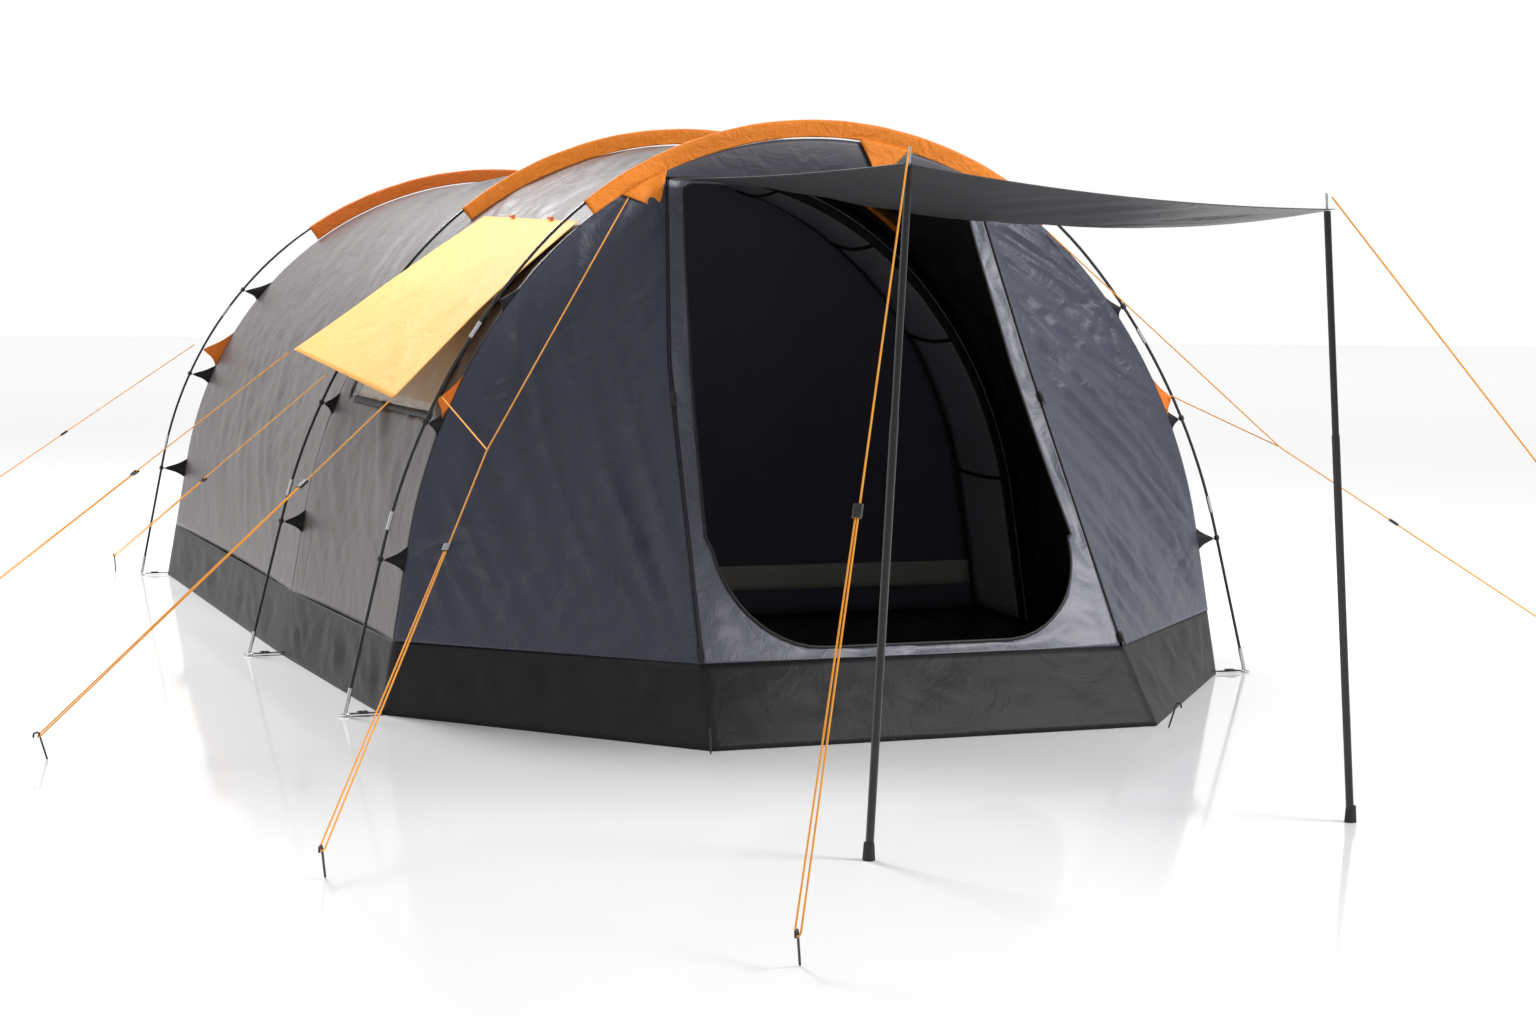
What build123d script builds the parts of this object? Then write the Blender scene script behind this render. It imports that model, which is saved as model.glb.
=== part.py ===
from build123d import *
import os
from math import cos, pi, radians, sin, tan

# A tunnel tent held up by three outside hoop poles, with a pointed front porch, a window under an
# orange side awning, and a door canopy on two telescopic poles.
# Millimetres, +Z up, the door looks towards -Y. The origin is on the ground under the crown of the
# middle hoop.

# Hoops: half width and height at the pole's centre line, lean of the legs, angle at which the
# shoulder arc passes into the crown arc, length of the straight leg, place along the tent
FRONT_HOOP = dict(half=1775, height=2070, lean=13.7, shoulder=42.8, leg=577, y=-1486, tilt=2.8)
MIDDLE_HOOP = dict(half=1835, height=2110, lean=13.7, shoulder=42.8, leg=577, y=0, tilt=0)
REAR_HOOP = dict(half=1857, height=2060, lean=10.7, shoulder=42.6, leg=601, y=2888, tilt=0)
POLE_D = 11
FERRULE_D, FERRULE_LENGTH = 14, 64
FERRULE_AT = (680, 1400)
SOCKET_D, SOCKET_FROM, SOCKET_TO = 15, 10, 98
POLE_FROM = 50
PIN_D, PIN_TOP, PIN_BASE_D, PIN_BASE_HEIGHT = 5, 46, 20, 1.6
POLE_GAP = 0.3

# Cloth: how far it hangs inside the poles at the ground and at the crown
CLOTH = 3
CLOTH_INSET, CLOTH_DROP, CLOTH_LEAN = 130, 60, 9.5
SKIRT_TOP = 250
SHEET = 2
FLY_STEPS = 22
SEWING_GAP = 0.5

# Sleeves over the crowns of the hoops
SLEEVE_FROM = 2000
SLEEVE_PROUD, SLEEVE_THICK, SLEEVE_STEPS = 10, 18, 14

# Clips that hang the cloth in the hoops, along the pole from its foot
CLIP_AT = (545, 1038, 1536)
CLIP_D, CLIP_LENGTH = 20, 16
STRAP_THICK = 2.4
TENT_AXIS_Z = 900

# Porch: the zipped seam on the right side, from the ground to the front hoop
SEAM = (
    Vector(807, -2458, 0),
    Vector(775, -2268, 250),
    Vector(692, -1685, 1200),
    Vector(605, -1385, 1850),
)
ZIP_R = 4
ZIP_GAP = ZIP_R + 1.5
DOOR_TOP, DOOR_BOTTOM = 1835, 285
DOOR_HALF_TOP, DOOR_HALF_BOTTOM, DOOR_CORNER_R = 545, 722, 330

# Window in the left side of the middle section
WINDOW_Y, WINDOW_Z = (-1330, -150), (1010, 1610)
WINDOW_CUT_X, WINDOW_CUT = -1250, 1000
CURTAIN_IN, CURTAIN_MARGIN = 26, 20

# Inner tent
INNER_FRONT, INNER_BACK, INNER_INSET, INNER_FOOT = 600, 2780, 75, 6

# Door canopy and its poles: foot, top
LEFT_POLE = (Vector(-954, -4004, 0), Vector(-876, -4000, 1776))
RIGHT_POLE = (Vector(527, -3989, 0), Vector(376, -4000, 1694))
UPPER_D, LOWER_D, TUBE_WALL, SLIDE_GAP = 19, 22, 1.4, 0.05
UPPER_SHOWN, UPPER_HIDDEN = 0.36, 400
FOOT_D, FOOT_HEIGHT = 34, 46
SPIKE_D, SPIKE_LENGTH = 7, 48
CANOPY_BACK = ((-605, -1425, 1846), (605, -1425, 1786))
CANOPY_MARGIN, CANOPY_REST, EYELET_R = 16, 4, 4.2
CANOPY_FRONT_SAG, CANOPY_LEFT_SAG, CANOPY_RIGHT_SAG, CANOPY_BELLY = 26, 12, 66, 40
CANOPY_BACK_RISE = 10

# Awning over the window: its front and rear hems, each from its top to its lower corner, the way it
# bellies out between them, and how far, at even steps down
AWNING_FRONT = (Vector(-929, -1385, 1688), Vector(-1583, -1378, 1070))
AWNING_REAR = (Vector(-940, -180, 1732), Vector(-1626, 150, 1196))
AWNING_OUT = Vector(-0.68, 0, 0.73).normalized()
AWNING_BELLY = (0, 8, 10, 4, 0)
TOGGLE_D, TOGGLE_LENGTH = 12, 44
TOGGLE_SHARES = (0.26, 0.66)

# Guys: where each is tied, where its runner is along its last straight stretch, and its peg
GUY_D = 5
GUYS = {
    "left_canopy": (Vector(-882, -4009, 1812), 0.50, Vector(-1511, -4889, 0)),
    "right_canopy": (Vector(385, -4007, 1732), 0.55, Vector(1492, -4677, 0)),
    "left_front": (Vector(-762, -1424, 1772), 0.29, Vector(-2312, -3769, 0)),
    "right_front": (Vector(900, -1424, 1690), 0.35, Vector(3000, -2050, 0)),
    "awning_front": (Vector(-1600, -1385, 1062), 0.27, Vector(-2796, -1991, 0)),
    "awning_rear": (Vector(-1642, 160, 1188), 0.49, Vector(-2611, 2051, 0)),
    "middle_hoop": (Vector(-1520, 30, 1104), 0.52, Vector(-1960, 3059, 0)),
    "rear_hoop": (Vector(-1592, 2888, 1150), 0.42, Vector(-3021, 3378, 0)),
}
# The two forked guys have a branch from the patch on the front hoop to a knot, where the guy bends
FORKS = {
    "left_front": (Vector(-1432, -1446, 1080), Vector(-1521, -2359, 957)),
    "right_front": (Vector(1432, -1446, 1080), Vector(1812, -1625, 890)),
}
GUY_HOLD = 78
STRAND_APART_AT_RUNNER, STRAND_PAST_RUNNER, LOOP_GAP = 5.6, 12, 1.4
RUNNER = (36, 24, 10.4)
RUNNER_SLOT = (15.5, 6.4)
GUY_BEND_R = 900

# Pegs stand in the ground, and only their heads show
PEG_D, PEG_HEIGHT, PEG_LEAN, PEG_HOOK = 6, 92, 18, 9
CORNER_PEG = (22, -44)


class Arch:
    """A hoop: straight legs, shoulder arcs and a crown arc, all tangent, in its own upright plane."""

    def __init__(self, half, height, lean, shoulder, leg, y, tilt):
        self.half, self.height, self.leg, self.y = half, height, leg, y
        self.lean, self.shoulder, self.tilt = radians(lean), radians(shoulder), radians(tilt)
        # the two radii close the outline at its half width and height
        sa, ca, sp, cp = sin(self.lean), cos(self.lean), sin(self.shoulder), cos(self.shoulder)
        across, up = half - leg * sa, height - leg * ca
        span = (ca - cp) * (1 - sp) - cp * (sp - sa)
        self.shoulder_r = (across * (1 - sp) - cp * up) / span
        self.crown_r = ((ca - cp) * up - (sp - sa) * across) / span
        self.knee = leg + self.shoulder_r * (self.shoulder - self.lean)
        self.length = 2 * (self.knee + self.crown_r * (pi / 2 - self.shoulder))
        self.plane = Plane(
            origin=(0, y, 0), x_dir=(1, 0, 0), z_dir=(0, -cos(self.tilt), sin(self.tilt))
        )

    def at(self, s):
        """x, height and heading at the length s from the left foot; heading 0 is straight up."""
        if s > self.length / 2:
            x, z, turn = self.at(self.length - s)
            return -x, z, pi - turn
        if s <= self.leg:
            return -self.half + s * sin(self.lean), s * cos(self.lean), self.lean
        x, z, _ = self.at(self.leg)
        if s <= self.knee:
            turn = self.lean + (s - self.leg) / self.shoulder_r
            r, start = self.shoulder_r, self.lean
        else:
            turn = self.shoulder + (s - self.knee) / self.crown_r
            x, z, _ = self.at(self.knee)
            r, start = self.crown_r, self.shoulder
        return x + r * (cos(start) - cos(turn)), z + r * (sin(turn) - sin(start)), turn

    def point(self, s, out=0):
        """A point on the outline, or that far outside it, in the hoop's plane."""
        x, z, turn = self.at(s)
        return x - out * cos(turn), z + out * sin(turn)

    def spot(self, s, out=0):
        """The same point in the tent's frame."""
        return self.plane.from_local_coords(Vector(*self.point(s, out), 0))

    def outline(self, start, end, steps, out=0):
        return [self.point(start + (end - start) * i / steps, out) for i in range(steps + 1)]

    def side_at(self, height):
        """Length from the left foot at which the outline has this height."""
        low, high = 0, self.length / 2
        for _ in range(40):
            middle = (low + high) / 2
            low, high = (middle, high) if self.at(middle)[1] < height else (low, middle)
        return low

    def band(self, height, thick, steps, out=0):
        """Closed outline of the cloth above this height."""
        start = self.side_at(height)
        outer = self.outline(start, self.length - start, steps, out)
        inner = self.outline(start, self.length - start, steps, out - thick)
        inner[0] = (outer[0][0] + thick / cos(self.lean), outer[0][1])
        inner[-1] = (-inner[0][0], inner[0][1])
        return outer + inner[::-1]


def cloth_arch(hoop, inset=0):
    """The cloth's arch inside a hoop, or a smaller one."""
    return Arch(
        hoop["half"] - CLOTH_INSET - inset,
        hoop["height"] - CLOTH_DROP - inset,
        CLOTH_LEAN,
        hoop["shoulder"],
        hoop["leg"],
        hoop["y"],
        hoop["tilt"],
    )


def between(a, b, y, inset):
    """The cloth's arch at a place between two hoops, that much smaller."""
    share = (y - a["y"]) / (b["y"] - a["y"])
    return cloth_arch({key: a[key] + (b[key] - a[key]) * share for key in a}, inset)


front, middle, rear = Arch(**FRONT_HOOP), Arch(**MIDDLE_HOOP), Arch(**REAR_HOOP)
front_cloth, middle_cloth, rear_cloth = (cloth_arch(h) for h in (FRONT_HOOP, MIDDLE_HOOP, REAR_HOOP))
hoops = {"front": (front, front_cloth), "middle": (middle, middle_cloth), "rear": (rear, rear_cloth)}

os.makedirs("parts", exist_ok=True)


def save(part, name):
    part.part.label = name
    export_step(part.part, f"parts/{name}.step")


def flip(point):
    return Vector(-point.X, point.Y, point.Z)


def lean_plane(origin, direction, side=(0, 1, 0)):
    """A plane whose normal is the direction and whose x axis is as near as can be to side."""
    direction = Vector(*direction).normalized()
    side = Vector(*side)
    return Plane(origin=origin, x_dir=side - direction * side.dot(direction), z_dir=direction)


def hoop_path(arch, start):
    """Centre line of a hoop pole that begins and ends this far up its legs."""
    half, knee, leg = arch.length / 2, arch.knee, arch.leg
    Line(arch.point(start), arch.point(leg))
    ThreePointArc(arch.point(leg), arch.point((leg + knee) / 2), arch.point(knee))
    ThreePointArc(arch.point(knee), arch.point(half), arch.point(arch.length - knee))
    ThreePointArc(
        arch.point(arch.length - knee),
        arch.point(arch.length - (leg + knee) / 2),
        arch.point(arch.length - leg),
    )
    Line(arch.point(arch.length - leg), arch.point(arch.length - start))


def tangent_plane(arch, s):
    """Plane across the pole at the length s, its y axis away from the tent."""
    _, _, turn = arch.at(s)
    along = arch.plane.from_local_coords(Vector(sin(turn), cos(turn), 0)) - arch.plane.origin
    return Plane(origin=arch.spot(s), x_dir=arch.plane.z_dir, z_dir=along)


def both_sides(arch, lengths):
    return [s for length in lengths for s in (length, arch.length - length)]


# Hoop poles: jointed fibreglass rods, bent into arches
for name, (arch, _) in hoops.items():
    with BuildPart() as pole:
        with BuildLine(arch.plane) as path:
            hoop_path(arch, POLE_FROM)
        with BuildSketch(tangent_plane(arch, POLE_FROM)):
            Circle(POLE_D / 2)
        sweep(path=path.wire())
    save(pole, f"{name}_hoop_pole")

# Metal ferrules over the joints of the poles, and metal sockets on their ends, over the foot pins
with BuildPart() as ferrules:
    for arch, _ in hoops.values():
        for s in both_sides(arch, FERRULE_AT):
            with BuildSketch(tangent_plane(arch, s)):
                Circle(FERRULE_D / 2)
                Circle(POLE_D / 2 + POLE_GAP, mode=Mode.SUBTRACT)
            extrude(amount=FERRULE_LENGTH / 2, both=True)
        for s in both_sides(arch, (SOCKET_FROM,)):
            up = 1 if s < arch.length / 2 else -1
            with BuildSketch(tangent_plane(arch, s)):
                Circle(SOCKET_D / 2)
                Circle(POLE_D / 2 + POLE_GAP, mode=Mode.SUBTRACT)
            extrude(amount=up * (SOCKET_TO - SOCKET_FROM))
save(ferrules, "pole_ferrules")

# Pins inside the sockets, each on a small round base
with BuildPart() as pins:
    for arch, _ in hoops.values():
        for s in both_sides(arch, (0,)):
            up = 1 if s < arch.length / 2 else -1
            with BuildSketch(Plane(origin=arch.spot(s))):
                Circle(PIN_BASE_D / 2)
            extrude(amount=PIN_BASE_HEIGHT)
            with BuildSketch(tangent_plane(arch, s + up * PIN_BASE_HEIGHT / 2)):
                Circle(PIN_D / 2)
            extrude(amount=up * PIN_TOP)
save(pins, "hoop_foot_pins")

# Wire rings round the pins, webbing from the cloth's corners and ladder locks on the webbing
RING_R, RING_WIRE_R, RING_Z = 17, 2, 4.2
WEBBING, WEBBING_Z = (25, STRAP_THICK), 8.2
LOCK, LOCK_WINDOW, LOCK_WINDOW_AT = (34, 36, 5), (9, 27), 8
with BuildPart() as rings:
    for arch, _ in hoops.values():
        for side in (-1, 1):
            wire = (side * (arch.half + RING_R), arch.y, RING_Z)
            with BuildSketch(Plane(origin=wire, x_dir=(1, 0, 0), z_dir=(0, -1, 0))):
                Circle(RING_WIRE_R)
            revolve(axis=Axis((side * arch.half, arch.y, 0), (0, 0, 1)))
save(rings, "hoop_foot_rings")

with BuildPart() as webbing:
    for arch, cloth in hoops.values():
        for side in (-1, 1):
            inner, outer = cloth.half + SEWING_GAP, arch.half - RING_R - RING_WIRE_R - 1
            with Locations((side * (inner + outer) / 2, arch.y, WEBBING_Z)):
                Box(outer - inner, *WEBBING)
save(webbing, "foot_webbing")

with BuildPart() as locks:
    for arch, cloth in hoops.values():
        for side in (-1, 1):
            x, z = side * (arch.half + cloth.half) / 2, WEBBING_Z + (STRAP_THICK + LOCK[2]) / 2
            with Locations((x, arch.y, z)):
                Box(*LOCK)
            with Locations((x - LOCK_WINDOW_AT, arch.y, z), (x + LOCK_WINDOW_AT, arch.y, z)):
                Box(*LOCK_WINDOW, LOCK[2] * 2, mode=Mode.SUBTRACT)
save(locks, "foot_ladder_locks")

# Sleeves: orange pockets over the crowns, whose lower edge is sewn to the cloth
for name, (arch, cloth) in hoops.items():
    with BuildPart() as sleeve:
        with BuildSketch(arch.plane):
            with BuildLine():
                top = arch.outline(SLEEVE_FROM, arch.length - SLEEVE_FROM, SLEEVE_STEPS, SLEEVE_PROUD)
                first = cloth.side_at(top[0][1] - CLOTH_DROP)
                low = cloth.outline(first, cloth.length - first, SLEEVE_STEPS, CLOTH + SEWING_GAP)
                Polyline(*top, *low[::-1], close=True)
            make_face()
        extrude(amount=SLEEVE_THICK / 2, both=True)
        with BuildLine(arch.plane) as path:
            hoop_path(arch, POLE_FROM)
        with BuildSketch(tangent_plane(arch, POLE_FROM)):
            Circle(POLE_D / 2 + POLE_GAP)
        sweep(path=path.wire(), mode=Mode.SUBTRACT)
    save(sleeve, f"{name}_pole_sleeve")


def lofted_band(arches, height, thick=CLOTH, out=0, steps=FLY_STEPS):
    """Cloth between arches, above this height."""
    with BuildPart() as band:
        for arch in arches:
            with BuildSketch(arch.plane):
                with BuildLine():
                    Polyline(*arch.band(height / cos(arch.tilt), thick, steps, out), close=True)
                make_face()
        loft(ruled=True)
    return band.part


def window_box(margin, mode):
    """The window's place along and up the left wall."""
    (y0, y1), (z0, z1) = WINDOW_Y, WINDOW_Z
    with Locations((WINDOW_CUT_X, (y0 + y1) / 2, (z0 + z1) / 2)):
        Box(WINDOW_CUT, y1 - y0 + 2 * margin, z1 - z0 + 2 * margin, mode=mode)


# Flysheet over the sleeping end and over the living space, which has the window
with BuildPart() as rear_fly:
    add(lofted_band((rear_cloth, middle_cloth), SKIRT_TOP))
save(rear_fly, "rear_fly")

with BuildPart() as middle_fly:
    add(lofted_band((middle_cloth, front_cloth), SKIRT_TOP))
    window_box(0, Mode.SUBTRACT)
save(middle_fly, "middle_fly")

with BuildPart() as window:
    add(lofted_band((middle_cloth, front_cloth), SKIRT_TOP))
    window_box(-SEWING_GAP, Mode.INTERSECT)
save(window, "side_window")

with BuildPart() as curtains:
    add(lofted_band((middle_cloth, front_cloth), SKIRT_TOP, out=-CURTAIN_IN, thick=2 * CLOTH))
    window_box(CURTAIN_MARGIN, Mode.INTERSECT)
save(curtains, "side_curtains")

# Back panel, in the plane of the rear hoop
with BuildPart() as back:
    with BuildSketch(rear_cloth.plane.offset(-SEWING_GAP)):
        with BuildLine():
            start = rear_cloth.side_at(SKIRT_TOP)
            Polyline(*rear_cloth.outline(start, rear_cloth.length - start, FLY_STEPS), close=True)
        make_face()
    extrude(amount=-CLOTH)
save(back, "back_panel")


def seam_at(height, side=-1):
    """Point on a porch seam at this height."""
    for low, high in zip(SEAM, SEAM[1:]):
        if height <= high.Z:
            break
    point = low + (high - low) * ((height - low.Z) / (high.Z - low.Z))
    return Vector(side * point.X, point.Y, height)


def wall_at(height, side=-1):
    """Point on the side of the front hoop's cloth at this height."""
    point = front_cloth.spot(front_cloth.side_at(height / cos(front_cloth.tilt)))
    return Vector(side * -point.X, point.Y, height)


def inward(a, b, amount):
    """Sideways step, towards the middle of the porch, from the line a to b seen from above."""
    along = Vector(b.X - a.X, b.Y - a.Y, 0).normalized()
    across = Vector(-along.Y, along.X, 0)
    middle = (a + b) * 0.5
    return across * amount if across.dot(Vector(-middle.X, -1200 - middle.Y, 0)) > 0 else across * -amount


# Porch side panels, from the front hoop to the zipped seams
PANEL_HEIGHTS = (SKIRT_TOP, 500, 750, 1000, SEAM[2].Z, 1450, 1650, SEAM[3].Z)
for side, name in ((-1, "left"), (1, "right")):
    with BuildPart() as panel:
        for height in PANEL_HEIGHTS:
            a, b = wall_at(height, side), seam_at(height, side)
            a = a - Vector(0, 2 * CLOTH, 0)
            b = b + (a - b).normalized() * ZIP_GAP
            step = inward(a, b, CLOTH)
            with BuildSketch(Plane.XY.offset(height)):
                with BuildLine():
                    Polyline(*((p.X, p.Y) for p in (a, b, b + step, a + step)), close=True)
                make_face()
        loft(ruled=True)
    save(panel, f"porch_{name}_panel")

# Porch front panel, with the door opening in it
with BuildPart() as front_panel:
    for point in SEAM[1:]:
        half = point.X - ZIP_GAP
        with BuildSketch(Plane.XY.offset(point.Z)):
            with Locations((0, point.Y + CLOTH / 2)):
                Rectangle(2 * half, CLOTH)
    loft(ruled=True)
    with BuildSketch(Plane.XZ.offset(-SEAM[3].Y - 400)):
        with BuildLine():
            Polyline(
                (-DOOR_HALF_TOP, DOOR_TOP),
                (DOOR_HALF_TOP, DOOR_TOP),
                (DOOR_HALF_BOTTOM, DOOR_BOTTOM),
                (-DOOR_HALF_BOTTOM, DOOR_BOTTOM),
                close=True,
            )
        make_face()
        fillet(vertices().group_by(Axis.Z)[0], DOOR_CORNER_R)
    extrude(amount=2000, mode=Mode.SUBTRACT)
save(front_panel, "porch_front_panel")

# Hood: the small panel between the crown of the front hoop and the top of the door
with BuildPart() as hood:
    with BuildSketch(front_cloth.plane.offset(SEWING_GAP)):
        with BuildLine():
            start = front_cloth.side_at(SEAM[3].Z / cos(front_cloth.tilt) + 2)
            Polyline(*front_cloth.outline(start, front_cloth.length - start, SLEEVE_STEPS), close=True)
        make_face()
    extrude(amount=CLOTH)
save(hood, "porch_hood")

# Mud skirt round the whole tent, on the groundsheet
def skirt_corners(height, inset=0):
    right = [Vector(rear_cloth.half, rear_cloth.y + CLOTH, 0), Vector(middle_cloth.half, 0, 0)]
    right = [p - Vector(height * tan(radians(CLOTH_LEAN)) + inset, inset if p.Y else 0, 0) for p in right]
    wall, seam = wall_at(height, 1), seam_at(height, 1)
    right.append(wall - Vector(inset, 0, 0))
    right.append(seam + Vector(-inset, inset, 0))
    return [(p.X, p.Y) for p in right] + [(-p.X, p.Y) for p in reversed(right)]


with BuildPart() as skirt:
    for inset, mode in ((0, Mode.ADD), (CLOTH, Mode.SUBTRACT)):
        for height in (SHEET, SKIRT_TOP - SEWING_GAP):
            with BuildSketch(Plane.XY.offset(height)):
                with BuildLine():
                    Polyline(*skirt_corners(height, inset), close=True)
                make_face()
        loft(ruled=True, mode=mode)
save(skirt, "mud_skirt")

with BuildPart() as groundsheet:
    with BuildSketch():
        with BuildLine():
            Polyline(*skirt_corners(0), close=True)
        make_face()
    extrude(amount=SHEET)
save(groundsheet, "groundsheet")

# Inner tent: the sleeping room behind the middle hoop
inner_front = between(MIDDLE_HOOP, REAR_HOOP, INNER_FRONT, INNER_INSET)
inner_back = between(MIDDLE_HOOP, REAR_HOOP, INNER_BACK, INNER_INSET)
with BuildPart() as inner_body:
    add(lofted_band((inner_front, inner_back), INNER_FOOT))
    with BuildSketch(inner_back.plane):
        with BuildLine():
            start = inner_back.side_at(INNER_FOOT)
            Polyline(*inner_back.outline(start, inner_back.length - start, FLY_STEPS), close=True)
        make_face()
    extrude(amount=-CLOTH)
save(inner_body, "inner_tent_body")

with BuildPart() as inner_door:
    with BuildSketch(inner_front.plane.offset(SEWING_GAP)):
        with BuildLine():
            start = inner_front.side_at(INNER_FOOT)
            Polyline(*inner_front.outline(start, inner_front.length - start, FLY_STEPS), close=True)
        make_face()
    extrude(amount=CLOTH)
save(inner_door, "inner_tent_front")

# Clips round the poles, and the straps from them to the cloth
with BuildPart() as clips:
    for arch, _ in hoops.values():
        for s in both_sides(arch, CLIP_AT):
            with BuildSketch(tangent_plane(arch, s)):
                Circle(CLIP_D / 2)
                Circle(POLE_D / 2 + POLE_GAP, mode=Mode.SUBTRACT)
            extrude(amount=CLIP_LENGTH / 2, both=True)
save(clips, "hoop_clips")


def gap_to_cloth(arch, cloth, s):
    """How far the cloth is inside the pole at the length s, across the pole."""
    reach = 0
    while True:
        x, z = arch.point(s, -reach)
        side = cloth.side_at(z)
        if abs(x) <= abs(cloth.point(side)[0]):
            return reach
        reach += 1


with BuildPart() as straps:
    for arch, cloth in hoops.values():
        for s in both_sides(arch, CLIP_AT):
            reach = gap_to_cloth(arch, cloth, s) - 1
            plane = tangent_plane(arch, s)
            inside = CLIP_D / 2 + POLE_GAP
            outward = plane.y_dir.dot(Vector(plane.origin.X, 0, plane.origin.Z - TENT_AXIS_Z))
            sign = -1 if outward > 0 else 1
            with BuildSketch(plane):
                with Locations((0, sign * (inside + reach) / 2)):
                    Rectangle(STRAP_THICK, reach - inside)
            extrude(amount=CLIP_LENGTH / 2 - 1, both=True)
save(straps, "clip_straps")

# Orange patches on the hoops that the side guys pull on
PATCH_HALF = 55
PATCHES = ((front, front_cloth, 1128), (rear, rear_cloth, 1175))
with BuildPart() as patches:
    for arch, cloth, s in PATCHES:
        tip = arch.point(s, -POLE_D / 2 - POLE_GAP)
        low, high = (
            cloth.point(cloth.side_at(tip[1] + step), SEWING_GAP) for step in (-PATCH_HALF, PATCH_HALF)
        )
        for side in (-1, 1):
            with BuildSketch(arch.plane):
                with BuildLine():
                    Polyline(*((-side * x, z) for x, z in (low, tip, high)), close=True)
                make_face()
            extrude(amount=STRAP_THICK / 2, both=True)
save(patches, "guy_patches")

# Zip tracks along the porch seams
with BuildPart() as tracks:
    for side in (-1, 1):
        start, end = seam_at(SKIRT_TOP + 8, side), seam_at(SEAM[3].Z - 8, side)
        with BuildLine() as path:
            FilletPolyline(start, seam_at(SEAM[2].Z, side), end, radius=400)
        with BuildSketch(lean_plane(start, seam_at(SEAM[2].Z, side) - start)):
            Circle(ZIP_R)
        sweep(path=path.wire())
save(tracks, "zip_tracks")

# Zip sliders with their pull tabs, outside the tracks, on the straight stretch of the seams
SLIDER, PULL, PULL_OVERLAP = (20, 36, 7), (12, 46, 2.4), 6
SLIDER_FACING = 0.55
SLIDER_AT = {"lower": 0.03, "upper": 0.885}
for level, share in SLIDER_AT.items():
    for side, name in ((-1, "left"), (1, "right")):
        low, high = seam_at(SEAM[1].Z, side), seam_at(SEAM[2].Z, side)
        along = (high - low).normalized()
        face = Vector(side * SLIDER_FACING, -along.Z, along.Y)
        face = (face - along * face.dot(along)).normalized()
        plane = Plane(origin=low + (high - low) * share, x_dir=along.cross(face), z_dir=face)
        with BuildPart() as slider:
            with BuildSketch(plane.offset(ZIP_R + SEWING_GAP)):
                RectangleRounded(SLIDER[0], SLIDER[1], 5)
            extrude(amount=SLIDER[2])
            with BuildSketch(plane.offset(ZIP_R + SEWING_GAP + SLIDER[2])):
                with Locations((0, PULL_OVERLAP - PULL[1] / 2)):
                    RectangleRounded(PULL[0], PULL[1], 4)
            extrude(amount=PULL[2])
        save(slider, f"{name}_{level}_zip_slider")

# Canopy poles: the upper tube slides in the lower one, which stands in a rubber foot
for name, (foot, top) in (("left", LEFT_POLE), ("right", RIGHT_POLE)):
    length, along = (top - foot).length, (top - foot).normalized()
    pole_plane = lean_plane(foot, along, (1, 0, 0))
    joint = length * (1 - UPPER_SHOWN)
    with BuildPart() as upper:
        with BuildSketch(pole_plane.offset(joint - UPPER_HIDDEN)):
            Circle(UPPER_D / 2)
            Circle(UPPER_D / 2 - TUBE_WALL, mode=Mode.SUBTRACT)
        extrude(amount=length - joint + UPPER_HIDDEN)
    save(upper, f"{name}_canopy_pole_upper")
    with BuildPart() as lower:
        with BuildSketch(pole_plane.offset(FOOT_HEIGHT / 2)):
            Circle(LOWER_D / 2)
            Circle(UPPER_D / 2 + SLIDE_GAP, mode=Mode.SUBTRACT)
        extrude(amount=joint - FOOT_HEIGHT / 2)
    save(lower, f"{name}_canopy_pole_lower")
    with BuildPart() as cap:
        with BuildSketch(Plane(origin=foot)):
            Circle(FOOT_D / 2)
        extrude(amount=FOOT_HEIGHT, taper=4)
        with BuildSketch(pole_plane.offset(FOOT_HEIGHT / 2)):
            Circle(LOWER_D / 2)
        extrude(amount=FOOT_HEIGHT, mode=Mode.SUBTRACT)
    save(cap, f"{name}_canopy_pole_foot")

with BuildPart() as spikes:
    for foot, top in (LEFT_POLE, RIGHT_POLE):
        plane = lean_plane(top, top - foot, (1, 0, 0))
        with BuildSketch(plane.offset(-2 * LOWER_D)):
            Circle(UPPER_D / 2 - TUBE_WALL)
        extrude(amount=2 * LOWER_D)
        with BuildSketch(plane):
            Circle(SPIKE_D / 2)
        extrude(amount=SPIKE_LENGTH)
save(spikes, "canopy_pole_spikes")


def canopy_point(u, v):
    """Underside of the door canopy: u from left to right, v from the tent to the poles."""
    back = [Vector(*p) for p in CANOPY_BACK]
    left, right = LEFT_POLE[1], RIGHT_POLE[1]
    front_left = left + Vector(-CANOPY_MARGIN, -CANOPY_MARGIN, CANOPY_REST)
    front_right = right + Vector(CANOPY_MARGIN, -CANOPY_MARGIN, CANOPY_REST)
    near, far = back[0] + (back[1] - back[0]) * u, front_left + (front_right - front_left) * u
    point = near + (far - near) * v
    across, along = 4 * u * (1 - u), 4 * v * (1 - v)
    sag = CANOPY_FRONT_SAG * across * v**4 + CANOPY_LEFT_SAG * along * (1 - u) + CANOPY_RIGHT_SAG * along * u
    rise = CANOPY_BACK_RISE * across * (1 - v) ** 2
    return point + Vector(0, 0, rise - sag - CANOPY_BELLY * across * along)


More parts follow.
